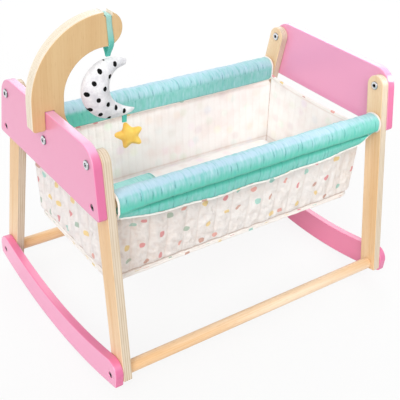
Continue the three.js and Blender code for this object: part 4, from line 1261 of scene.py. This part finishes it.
class Wall:
    """A wall's grid of points, with crumpled channels outside and quilted squares inside."""

    def __init__(self, is_side, top_of, columns, seed):
        self.is_side = is_side
        self.seed = seed
        self.share = np.linspace(-1, 1, columns)[:, None]
        self.level = np.linspace(0, 1, WALL_ROWS)[None, :]
        self.top = top_of(self.share)
        self.height = WALL_BOTTOM + (self.top - WALL_BOTTOM) * self.level
        length, width, radius, self.shift, tuck = basket_plan(self.height)
        if is_side:
            flap = RAIL_HEIGHT - INNER_DROP
            tuck = tuck * eased(np.abs(self.share), 0.7, 1)
            tuck = tuck * (1 - eased(self.height, flap - 5 * MM, flap + 3 * MM))
            run, across = length, width - tuck
        else:
            run, across = width - tuck, length
        self.paced, self.along, self.out, self.lean_along, self.lean_out = wall_run(
            run, across, radius, self.share)
        self.cloth = np.stack(np.broadcast_arrays(self.paced, self.height - WALL_BOTTOM), -1)
        self.edge = np.minimum(self.height - WALL_BOTTOM, self.top - self.height)
        self.side_edge = np.broadcast_to((1 - np.abs(self.share)) * run.max(), self.height.shape)
        self.fade = eased(self.edge, 0, 14 * MM) * eased(self.side_edge, 0, 12 * MM)
        self.base_seam = bell(self.height - WALL_BOTTOM - BASE_SEAM_RISE, 1.6 * MM)
        drift = 1.5 * MM * rippled(self.cloth, 25, seed + 12)
        self.seam, self.puff = self.channels(drift)
        self.line, self.stitch, self.squares = self.quilting(drift * 0.5)

    def channels(self, drift):
        """The outside's relief: channels between upright seams, pulled into slanting crumples."""
        seam = nearest_line(self.paced + drift, SEAM_SPACING, 0.2, self.seed)
        u, v = self.cloth[..., 0], self.cloth[..., 1]
        slanted = np.stack([u * 0.86 + v * 0.5, v * 0.62 - u * 0.25], -1)
        crumple = rippled(slanted, 80, self.seed, 3)
        pulled = 1 - 2 * np.abs(rippled(slanted, 60, self.seed + 3, 3))
        off_seam = 1 - bell(seam, 4 * MM)
        puff = 1.0 * MM * (1 - bell(seam, 8 * MM)) - 0.7 * MM * bell(seam, 1.3 * MM)
        return seam, puff + (2.0 * MM * crumple + 1.9 * MM * pulled) * (0.3 + 0.7 * off_seam)

    def quilting(self, drift):
        """The inside's relief: a grid of small squares, each puffed between its stitches."""
        line = nearest_line(self.paced + drift, QUILT_SPACING, 0.0, self.seed)
        level_line = nearest_line(self.cloth[..., 1] + drift, QUILT_SPACING, 0.0, self.seed)
        stitch = np.maximum(bell(line, 1.3 * MM), 0.3 * bell(level_line, 1.3 * MM))
        soft = rippled(self.cloth, 55, self.seed + 9, 2)
        return line, stitch, 0.6 * MM * (1 - stitch) + 0.6 * MM * soft

    def surfaces(self, sense):
        """The places of the outside and the inside, for a wall that faces this way or that."""
        billow = WALL_BILLOW * np.cos(self.share * math.pi / 2) ** 2
        billow = billow * np.cos((2 * self.level - 1) * math.pi / 2)
        front = billow + self.puff * self.fade - 1.4 * MM * self.base_seam
        back = self.squares * eased(self.edge, 0, 8 * MM) * eased(self.side_edge, 0, 8 * MM)
        half = WALL_CLOTH / 2
        lip = np.clip(np.minimum(self.edge, self.side_edge) / half, 0, 1)
        round_off = half * (1 - np.sqrt(np.clip(1 - (1 - lip) ** 2, 0, 1)))
        grids = []
        for offset in (front - round_off, billow * 0.8 - WALL_CLOTH - (back - 0.4 * MM) + round_off):
            x = self.along + self.lean_along * offset
            y = sense * (self.out + self.lean_out * offset)
            if not self.is_side:
                x, y = y, x
            z = self.height - sag(x) * (1 - self.level)
            grids.append(np.stack(np.broadcast_arrays(CENTRE_X + self.shift + x, y, z), -1))
        return grids

    def outside_shade(self):
        """How much painted shade each point of the outside takes: in its folds and seams, under an
        end wall's binding, in a side wall's hem shadow and towards its left end.
        """
        taut = 0.5 + 0.5 * rippled(self.cloth, 14, self.seed + 20)
        slack = 0.22 + 0.22 * eased(-self.share, 0, 0.9)
        shade = 0.12 * bell(self.seam, 1.5 * MM) * taut + slack * hollows(self.puff, 6, 1.2 * MM)
        shade = shade * self.fade + 1.0 * self.base_seam
        if not self.is_side:
            return shade + 0.6 * self.under_binding()
        # painted shade, darker and warmer towards the left end
        shade = shade + 0.2 * eased(-self.share, -0.1, 0.9)
        hem = hem_height(self.share, HEM_DROP, FLAP_RISE, HEM_PIPING)
        return shade + 0.5 * bell(self.height - hem + 2 * MM, 2 * MM)

    def inside_shade(self):
        """The painted shade of the inside: its stitches, the mattress's edge, the upright corners,
        and under the binding or the inner hem.
        """
        uneven_edge = self.side_edge + 0.8 * MM * rippled(self.cloth, 160, self.seed + 5)
        shade = 0.05 * self.stitch * self.fade
        shade = shade + 0.45 * bell(self.height - MATTRESS_TOP + 1 * MM, 1.1 * MM)
        shade = shade + 1.1 * bell(uneven_edge, 1.6 * MM)
        if not self.is_side:
            return shade + 0.45 * self.under_binding()
        hem = hem_height(self.share, INNER_DROP, INNER_RISE * FLAP_RISE, INNER_PIPING)
        under = 0.3 + 0.25 * eased(-self.share, 0.1, 0.8)
        return shade + under * bell(self.height - hem + 3.2 * MM, 2.6 * MM)

    def under_binding(self):
        return bell(self.top - self.height - 3.2 * MM, 1.2 * MM)


def quilted_wall(where, sense, wall):
    surfaces = wall.surfaces(sense)
    mesh = skin_of(f"{where}_quilted_wall", *surfaces)
    flat = np.stack(np.broadcast_arrays(wall.paced + wall.seed * 0.11, wall.height, 0.0), -1)
    flat = flat.reshape(-1, 3)
    shade = np.concatenate([wall.outside_shade().ravel(), wall.inside_shade().ravel()])
    cloth_layers(mesh, np.vstack([flat, flat + LINING_SHIFT]), np.clip(shade, 0, 1),
                 np.concatenate([wall.seam.ravel(), wall.line.ravel()]))
    piece = finished(f"{where}_quilted_wall", mesh, CONFETTI_CLOTH, f"{where}_wall")
    mesh.materials.append(LINING)
    for polygon in mesh.polygons:
        polygon.material_index = 1 if min(polygon.vertices) >= len(flat) else 0
    if not wall.is_side:
        binding = (surfaces[0][:, -1] + surfaces[1][:, -1]) / 2
        thick = uneven(binding, WALL_BINDING, amount=0.12, scale=120, seed=wall.seed)
        tube(f"{where}_wall_binding", binding, thick, 12, PIPING_CLOTH, closed=False)


def end_wall_top(share):
    """An end wall's top edge sags a little and climbs to the corners that the sleeves hold."""
    return (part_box("left_wall")[1].z + END_WALL_RISE - 2 * MM * np.cos(share * math.pi / 2)
            + 4 * MM * share ** 4)


def basket():
    for where, sense, seed in (("near", -1, 1.3), ("far", 1, 4.1)):
        wall = Wall(True, lambda share: WALL_TOP + 0 * share, SIDE_COLUMNS, seed)
        quilted_wall(where, sense, wall)
    for where, sense, seed in (("left", -1, 6.2), ("right", 1, 8.4)):
        quilted_wall(where, sense, Wall(False, end_wall_top, END_COLUMNS, seed))
    length, width, radius, shift, _ = basket_plan(WALL_BOTTOM)
    middle_x = CENTRE_X + shift
    ring = resampled(plan_outline(length, width, radius), 3 * MM)
    path = np.column_stack([ring[:, 0] + middle_x, ring[:, 1],
                            WALL_BOTTOM + 0.8 * MM - sag(ring[:, 0])])
    thick = uneven(path, BASE_PIPING, amount=0.13, scale=90, seed=0.4)
    tube("basket_base_piping", path, thick, 14, PIPING_CLOTH)
    basket_floor(middle_x, length - 1 * MM, width - 1 * MM, radius)
    inset = WALL_CLOTH + BOARD_PLAY
    outline = plan_outline(length - inset, width - inset, radius - inset)
    place = Matrix.Translation((middle_x, 0, middle("base_board").z))
    board("stiffening_board", outline, [], spans("base_board")[2], BOARD_EDGE, place, BOARD,
          "base_board")


def plan_outline(length, width, radius):
    return np.array(rounded([
        (-length, -width, radius), (length, -width, radius), (length, width, radius),
        (-length, width, radius)], math.radians(6)))


def basket_floor(middle_x, length, width, radius):
    a = np.linspace(-1, 1, 150)[:, None]
    b = np.linspace(-1, 1, WALL_ROWS)[None, :]
    y = b * width + 0 * a
    corner = np.clip(np.abs(y) - (width - radius), 0, None)
    reach = length - radius + np.sqrt(np.clip(radius ** 2 - corner ** 2, 0, None))
    x = a * reach
    edge = np.minimum(reach - np.abs(x), width - np.abs(y))
    place = np.stack([x, y], -1)
    lines = np.maximum(bell(nearest_line(x, SEAM_SPACING, 0.0, 2), 2 * MM),
                       bell(nearest_line(y, SEAM_SPACING, 0.0, 2), 2 * MM))
    puff = 1.3 * MM * (1 - lines) + 0.5 * MM * rippled(place, 40, 5.5)
    low = BASKET_BOTTOM + 1.6 * MM - puff * eased(edge, 0, 10 * MM)
    high = np.full(low.shape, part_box("basket_floor")[1].z)
    lip = 1.2 * MM * (1 - eased(edge, 0, 2 * MM))
    grids = [np.stack([middle_x + x, y, level - sag(x)], -1) for level in (high - lip, low + lip)]
    mesh = skin_of("basket_cloth_floor", *grids)
    flat = np.stack([x, y, 0 * x], -1).reshape(-1, 3)
    # painted shade along the quilted lines of its underside
    cloth_layers(mesh, np.vstack([flat, flat]),
                 np.concatenate([0 * lines.ravel(), (0.4 * lines).ravel()]))
    piece = finished("basket_cloth_floor", mesh, CONFETTI_CLOTH, "basket_floor")


# Stuffed pieces

def stuffed(mesh, voxel, pressure, limit):
    """Blows a closed form up as its stuffing does, with no point moved past the limit."""
    piece = bpy.data.objects.new("stuffing", mesh)
    scene.collection.objects.link(piece)
    remesh = piece.modifiers.new("remesh", "REMESH")
    remesh.mode = "VOXEL"
    remesh.voxel_size = voxel
    start = bpy.data.meshes.new_from_object(
        piece.evaluated_get(bpy.context.evaluated_depsgraph_get()))
    piece.modifiers.remove(remesh)
    piece.data = start
    cloth = piece.modifiers.new("cloth", "CLOTH")
    cloth.settings.use_pressure = True
    cloth.settings.uniform_pressure_force = pressure
    cloth.settings.effector_weights.gravity = 0
    cloth.settings.quality = 6
    cloth.point_cache.frame_start = 1
    cloth.point_cache.frame_end = STUFFING_FRAMES
    for number in range(1, STUFFING_FRAMES + 1):
        scene.frame_set(number)
    blown = piece.evaluated_get(bpy.context.evaluated_depsgraph_get()).to_mesh()
    before = vectors_of(start)
    move = vectors_of(blown) - before
    size = np.linalg.norm(move, axis=1)[:, None]
    move *= np.minimum(1, limit / np.maximum(size, 1e-9))
    piece.modifiers.remove(cloth)
    move_points(start, before + move)
    scene.frame_set(1)
    bpy.data.objects.remove(piece)
    return start


def vectors_of(mesh, key="co"):
    """The places of a mesh's points, or their normals."""
    flat = np.empty(len(mesh.vertices) * 3, np.float32)
    mesh.vertices.foreach_get(key, flat)
    return flat.reshape(-1, 3).astype(float)


def move_points(mesh, points):
    mesh.vertices.foreach_set("co", np.asarray(points, np.float32).ravel())
    mesh.update()


def cushion(low, high, rim, pull, inset, fullness, columns, rows):
    """A cushion's closed form between two corners, drawn in along its sides."""
    size = high - low
    u = np.linspace(-1, 1, columns)[:, None]
    v = np.linspace(-1, 1, rows)[None, :]
    corner = CUSHION_CORNER * np.abs(u * v) ** 8
    x = (size.x / 2 - inset - corner - pull * (1 - v * v) * np.abs(u)) * u
    y = (size.y / 2 - inset - corner - pull * (1 - u * u) * np.abs(v)) * v
    swell = np.sqrt((1 - u ** fullness) * (1 - v ** fullness))
    thick = size.z - inset
    top = low.z + rim + (thick - rim) * swell
    bottom = low.z + rim / 2 * (1 - np.sqrt(swell))
    middle_x, middle_y = (low.x + high.x) / 2, (low.y + high.y) / 2
    grids = [np.stack(np.broadcast_arrays(middle_x + x, middle_y + y, level), -1)
             for level in (top, bottom)]
    return skin_of("cushion", *grids)


def soft_piece(name, mesh, material, node, body, place=None):
    """A stuffed piece, with its surface divided once more."""
    piece = finished(name, mesh, material, node, body=body, place=place)
    smooth = piece.modifiers.new("smooth", "SUBSURF")
    smooth.levels = smooth.render_levels = 1


def pad(node, material, body, form, stuffing, piping):
    """A pad of the bedding, with piping in the seam round it."""
    low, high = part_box(node)
    mesh = stuffed(cushion(low, high, **form), **stuffing)
    settle(mesh, low.z, high.z)
    # tone: the pillow's cloth lies three quarters of the way up its painted sheen
    cloth_layers(mesh, vectors_of(mesh), tone=0.75)
    soft_piece(f"{node}_pad", mesh, material, node, body)
    edging(f"{node}_piping", low, high, material, body, **piping)


def bedding():
    pad("mattress", BEDDING, "cradle",
        dict(rim=8 * MM, pull=0.8 * MM, inset=0.8 * MM, fullness=16, columns=90, rows=46),
        dict(voxel=4.5 * MM, pressure=3.0, limit=1.5 * MM),
        dict(height=MATTRESS_TOP - 4.4 * MM, pull=0.8 * MM, radius=1.2 * MM))
    pad("pillow", PILLOW_CLOTH, "pillow",
        dict(rim=4.5 * MM, pull=4.5 * MM, inset=1.5 * MM, fullness=6, columns=60, rows=76),
        dict(voxel=4 * MM, pressure=4.0, limit=5 * MM),
        dict(height=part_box("pillow")[0].z + 4.6 * MM, pull=4.5 * MM, radius=1.0 * MM))


def settle(mesh, low, high):
    """Presses a stuffed pad flat on what it lies on, and keeps its crown under its height."""
    points = vectors_of(mesh)
    z = points[:, 2]
    z = np.where(z < low + 0.3 * MM, low + 0.3 * MM, z)
    points[:, 2] = np.minimum(z, high + 1.0 * MM)
    move_points(mesh, points)


def edging(name, low, high, material, body, height, pull, radius):
    """Piping in the seam round a pad, drawn in along its sides as the pad is."""
    half_x = (high.x - low.x) / 2 - radius
    half_y = (high.y - low.y) / 2 - radius
    ring = []
    steps = 60
    for k in range(4 * steps):
        turn, share = divmod(k, steps)
        t = 2 * share / steps - 1
        bow = pull * (1 - t * t)
        corner = CUSHION_CORNER * abs(t) ** 8
        a, b = half_x - corner, half_y - corner
        ring.append(((t * a, bow - b), (a - bow, t * b),
                     (-t * a, b - bow), (bow - a, -t * b))[turn])
    ring = softened(np.array(ring), 4)
    at = (low + high) / 2
    path = np.column_stack([ring[:, 0] + at.x, ring[:, 1] + at.y, np.full(len(ring), height)])
    tube(name, path, radius, 10, material, body)


# Moon, star and their ribbons

MOON_REACH = 60 * MM
MOON_STEPS = 100
MOON_FOCUS = Vector((NOTCH_X + 24 * MM, 0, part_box("moon_toy")[1].z - 41.4 * MM))
# Each section of the crescent: its share of a turn about the focus, and how far its inner and
# its outer edge reach, as shares of MOON_REACH
MOON_SECTION_SHARES = (
    (0.218, 0.452, 0.612), (0.240, 0.436, 0.634), (0.262, 0.424, 0.660), (0.290, 0.408, 0.702),
    (0.320, 0.388, 0.755), (0.351, 0.366, 0.815), (0.394, 0.335, 0.890), (0.438, 0.311, 0.950),
    (0.481, 0.297, 0.990), (0.524, 0.295, 0.992), (0.567, 0.303, 0.972), (0.610, 0.322, 0.930),
    (0.653, 0.353, 0.875), (0.696, 0.400, 0.825), (0.738, 0.460, 0.795), (0.776, 0.555, 0.788),
    (0.806, 0.640, 0.789), (0.828, 0.705, 0.785))


def smooth_table(rows, count):
    """Rows of numbers joined by a smooth curve and read at an even count of places."""
    table = np.array(rows)
    padded_rows = np.vstack([2 * table[0] - table[1], table, 2 * table[-1] - table[-2]])
    result = []
    for at in np.linspace(0, len(table) - 1, count):
        i = min(int(at), len(table) - 2)
        t = at - i
        a, b, c, d = padded_rows[i:i + 4]
        result.append(0.5 * (2 * b + (c - a) * t + (2 * a - 5 * b + 4 * c - d) * t ** 2
                             + (3 * b - a - 3 * c + d) * t ** 3))
    return np.array(result)


def moon_form(fatness, slimmer):
    """The crescent as oval sections that fan out from a point in its hollow."""
    sides = 28
    sections = smooth_table(MOON_SECTION_SHARES, MOON_STEPS)
    vertices = []
    steps = len(sections) - 1
    for i, (turn, inner, outer) in enumerate(sections):
        angle = 2 * math.pi * turn
        centre = MOON_REACH * (inner + outer) / 2
        dome = 1 - (1 - min(min(i, steps - i) / 4, 1)) ** 2
        blunt = 0.6 if i < steps / 2 else 0.35
        half = (MOON_REACH * (outer - inner) / 2 - slimmer) * (
            blunt + (1 - blunt) * math.sqrt(dome))
        for k in range(sides):
            around = 2 * math.pi * k / sides
            reach = centre + half * math.cos(around)
            vertices.append(MOON_FOCUS + Vector((
                reach * math.cos(angle), half * fatness * math.sin(around),
                reach * math.sin(angle))))
    faces = []
    for i in range(steps):
        faces += band(i * sides, (i + 1) * sides, sides)
    faces.append(tuple(range(sides)))
    faces.append(tuple(range(steps * sides, (steps + 1) * sides)))
    return mesh_of("moon", vertices, faces)


def seam_pinch(mesh, depth, width):
    """Draws a stuffed toy in along the seam at its middle plane."""
    points = vectors_of(mesh)
    normals = vectors_of(mesh, "normal")
    near = bell(points[:, 1], width)
    pucker = np.array([noise.noise(Vector((p[0] * 260, 0.5, p[2] * 260))) for p in points])
    points -= normals * (near * depth * (1 + 0.8 * pucker))[:, None]
    points[:, 1] += normals[:, 1] * 0.5 * MM * pucker * (1 - near)
    move_points(mesh, points)


def moon():
    form = moon_form(fatness=0.60, slimmer=0.2 * MM)
    blown = stuffed(form, voxel=2.0 * MM, pressure=5.0, limit=1.4 * MM)
    seam_pinch(blown, depth=0.8 * MM, width=1.2 * MM)
    soft_piece("moon_stuffed", blown, MOON_CLOTH, "moon_toy", "moon")


def star_outline():
    corners = []
    for k in range(10):
        radius, turn = ((STAR_VALLEY, STAR_VALLEY_ROUND) if k % 2 else (STAR_TIP, STAR_TIP_ROUND))
        angle = math.pi / 2 + k * math.pi / 5
        corners.append((radius * math.cos(angle), radius * math.sin(angle), turn))
    return np.array(rounded(corners, math.radians(9)))


def star_form():
    """The star's two faces, each in rings that rise towards its middle."""
    ring = star_outline()
    reach = np.linalg.norm(ring, axis=1).max()
    shares = np.concatenate([np.linspace(1, 0.86, 4), np.linspace(0.78, 0.08, 10)])
    vertices = []
    faces = []
    count = len(ring)
    for face in (-1, 1):
        first = len(vertices)
        for share in shares:
            lift = STAR_HALF_THICK * math.sqrt(1 - share ** 3)
            vertices += [(u * share * 1.02, face * lift, v * share * 1.02 - reach) for u, v in ring]
        for row in range(len(shares) - 1):
            faces += band(first + row * count, first + (row + 1) * count, count)
        last = len(vertices) - count
        faces += [(last + k, last + (k + 1) % count, len(vertices)) for k in range(count)]
        vertices.append((0, face * STAR_HALF_THICK, -reach))
    return welded(mesh_of("star", vertices, faces), WELD_GAP)


def star():
    blown = stuffed(star_form(), voxel=1.5 * MM, pressure=5.0, limit=1.4 * MM)
    seam_pinch(blown, depth=0.5 * MM, width=0.8 * MM)
    tip = Vector(((TAB_LOW.x + TAB_HIGH.x) / 2, 0, TAB_LOW.z - 0.3 * MM))
    place = (Matrix.Translation(tip) @ Matrix.Rotation(STAR_TURN, 4, "Z")
             @ Matrix.Rotation(STAR_TILT, 4, "Y"))
    soft_piece("star_stuffed", blown, STAR_CLOTH, "star_toy", "star", place)


def ribbon(name, path, widths, thickness, node, body):
    """A ribbon along a path in a plane across X: path rows are (x, y, z), one width each."""
    path = np.asarray(path, float)
    tangents = np.gradient(path, axis=0)
    tangents[:, 0] = 0
    tangents /= np.linalg.norm(tangents, axis=1)[:, None]
    normals = np.stack([0 * tangents[:, 0], -tangents[:, 2], tangents[:, 1]], 1)
    across = np.linspace(-0.5, 0.5, 9)
    lip = thickness / 2 * np.sqrt(np.clip(1 - (2 * across) ** 8, 0, 1))
    spread = path[:, None] + np.array([1, 0, 0]) * (across[None, :] * widths[:, None])[..., None]
    grids = [spread + normals[:, None] * (face * lip)[None, :, None] for face in (1, -1)]
    mesh = welded(skin_of(name, *grids), WELD_GAP)
    finished(name, mesh, RIBBON, node, body=body)


def over_and_down(half, *crown):
    """A path's corners (y, z): up its side at -Y, over any crown, and down at +Y the same way."""
    return [(-y, z) for y, z in half] + [*crown] + half[::-1]


def strap():
    """The loop in the arm's notch: over the notch, down both faces, together at the moon."""
    out = spans("moon_arm")[1] / 2 + 0.8 * MM
    top = STRAP_HIGH.z - 0.5 * MM
    under = ARM_HIGH.z - ARM_WIDTH
    end = STRAP_LOW.z + 0.1 * MM
    lean = 3.6 * MM
    run = smooth_table(over_and_down([
        (0.7 * MM, end), (2.6 * MM, end + 5 * MM), (out * 0.72, under - 4 * MM),
        (out, under + 4 * MM), (out, under + 12 * MM), (out, top - 8 * MM),
        (out, top - 2.2 * MM), (out - 2.2 * MM, top)]), 160)
    drop = np.clip((top - run[:, 1]) / (top - end), 0, 1)
    low = np.clip((under - run[:, 1]) / (under - end), 0, 1)
    x = NOTCH_X + lean * eased(drop, 0, 0.75)
    widths = STRAP_WIDTH - 1.2 * MM * low - 0.3 * MM * np.sin(drop * 9)
    path = np.column_stack([x, run[:, 0], run[:, 1]])
    ribbon("hanging_ribbon", path, widths, STRAP_THICK, "hanging_strap", "strap")


def tab():
    centre = (TAB_LOW.x + TAB_HIGH.x) / 2
    top = TAB_HIGH.z - 0.4 * MM
    run = smooth_table(over_and_down([
        (0.55 * MM, TAB_LOW.z + 0.1 * MM), (0.6 * MM, TAB_LOW.z + 5 * MM),
        (0.6 * MM, top - 1.2 * MM)], (0, top)), 50)
    path = np.column_stack([np.full(len(run), centre), run[:, 0], run[:, 1]])
    ribbon("star_ribbon", path, np.full(len(run), TAB_WIDTH), TAB_THICK, "star_tab", "star")


# Stage, light and camera

def stage_floor():
    finish = Finish("studio_floor")
    seen = finish.node("ShaderNodeLightPath", output="Is Camera Ray")
    tone = finish.noise(finish.place(), 3.0, 2.0)
    lit = finish.node("ShaderNodeBsdfPrincipled", inputs={
        "Base Color": finish.mix(tone * 0.1, "e2e2e2", "dcdcdc"), "Roughness": 0.9})
    glow = finish.node("ShaderNodeEmission", inputs={"Color": paint("ffffff"), "Strength": 1.0})
    mixed = finish.node("ShaderNodeMixShader", inputs={0: seen * 0.85, 1: lit, 2: glow})
    finish.node("ShaderNodeOutputMaterial", inputs={"Surface": mixed})
    reach = 3.0
    corners = [(-reach, -reach, 0), (reach, -reach, 0), (reach, reach, 0), (-reach, reach, 0)]
    mesh = mesh_of("studio_floor", corners, [(0, 1, 2, 3)])
    mesh.materials.append(finish.material)
    floor = bpy.data.objects.new("studio_floor", mesh)
    floor.location.z = -0.2 * MM
    scene.collection.objects.link(floor)


def world_light(strength):
    """Plain white all round, lit at a strength, and at full white where it is seen."""
    scene.world = bpy.data.worlds.new("studio")
    world = Nodes(scene.world)
    camera_ray, glossy_ray, through_ray = world.node("ShaderNodeLightPath", output=(
        "Is Camera Ray", "Is Glossy Ray", "Is Transmission Ray"))
    shown = camera_ray.math("MAXIMUM", glossy_ray).math("MAXIMUM", through_ray)
    light = world.node("ShaderNodeBackground", inputs={0: paint("ffffff"), 1: strength})
    seen = world.node("ShaderNodeBackground", inputs={0: paint("ffffff"), 1: 1.0})
    mixed = world.node("ShaderNodeMixShader", inputs={0: shown, 1: light, 2: seen})
    world.node("ShaderNodeOutputWorld", inputs={"Surface": mixed})


def lamp(kind, name, place, aim, power, **settings):
    """A lamp of one kind, aimed from its place."""
    light = bpy.data.lights.new(name, kind)
    light.energy = power
    for key, setting in settings.items():
        setattr(light, key, setting)
    holder = bpy.data.objects.new(name, light)
    holder.location = place
    holder.rotation_euler = (Vector(aim) - Vector(place)).to_track_quat("-Z", "Y").to_euler()
    scene.collection.objects.link(holder)


def camera():
    lens = bpy.data.cameras.new("camera")
    lens.sensor_width = 36.0
    lens.lens = 71.06
    lens.shift_x = -0.0025
    lens.shift_y = 0.0016
    lens.clip_start = 0.05
    holder = bpy.data.objects.new("camera", lens)
    right = Vector((0.81238, -0.58025, 0.05798))
    up = Vector((0.26795, 0.45974, 0.84667))
    back = Vector((-0.51793, -0.67228, 0.52896))
    turn = Matrix((right, up, back)).transposed().to_4x4()
    place = Vector((-0.624835, -0.818444, 0.777425)) + Vector((CENTRE_X, 0, 0))
    holder.matrix_world = Matrix.Translation(place) @ turn
    scene.collection.objects.link(holder)
    scene.camera = holder


def build():
    for end in ("left", "right"):
        panel(end)
        rocker(end)
        for side in (-1, 1):
            is_near = (side == -1) == (end == "left")
            where = f"{end}_{'near' if is_near else 'far'}"
            post(end, side, f"{where}_post")
            fasteners(end, side, where, side * 1.7 + (3.1 if end == "left" else 5.9))
    for where in ("near", "far"):
        rod(f"{where}_stretcher")
        rod(f"{where}_rail")
    arm()
    sleeve("near", -1, 2.4)
    sleeve("far", 1, 7.3)
    basket()
    bedding()
    strap()
    moon()
    tab()
    star()


# The cradle's middle, where most lamps are aimed
MIDDLE = (0, 0, 0.2)

camera()
stage_floor()
world_light(0.6)
lamp("SUN", "key_light", (-0.58, -0.55, 0.6), (0, 0, 0), 1.85, angle=math.radians(40))
lamp("AREA", "top_light", (-0.3, 0.2, 1.9), MIDDLE, 3, shape="DISK", size=1.4)
lamp("AREA", "fill_light", (-0.1, -1.5, 1.2), MIDDLE, 2.8, shape="DISK", size=1.4,
     color=(1, 0.97, 0.94))
lamp("SPOT", "basket_light", (0.6, -0.3, 0.55), (-0.14, 0.1, 0.18), 23, color=(1, 0.95, 0.9),
     spot_size=math.radians(19), spot_blend=1.0, shadow_soft_size=0.1)
lamp("AREA", "back_light", (1.1, 1.4, 1.4), MIDDLE, 14, shape="DISK", size=1.6)
scene.view_settings.view_transform = "Standard"
build()
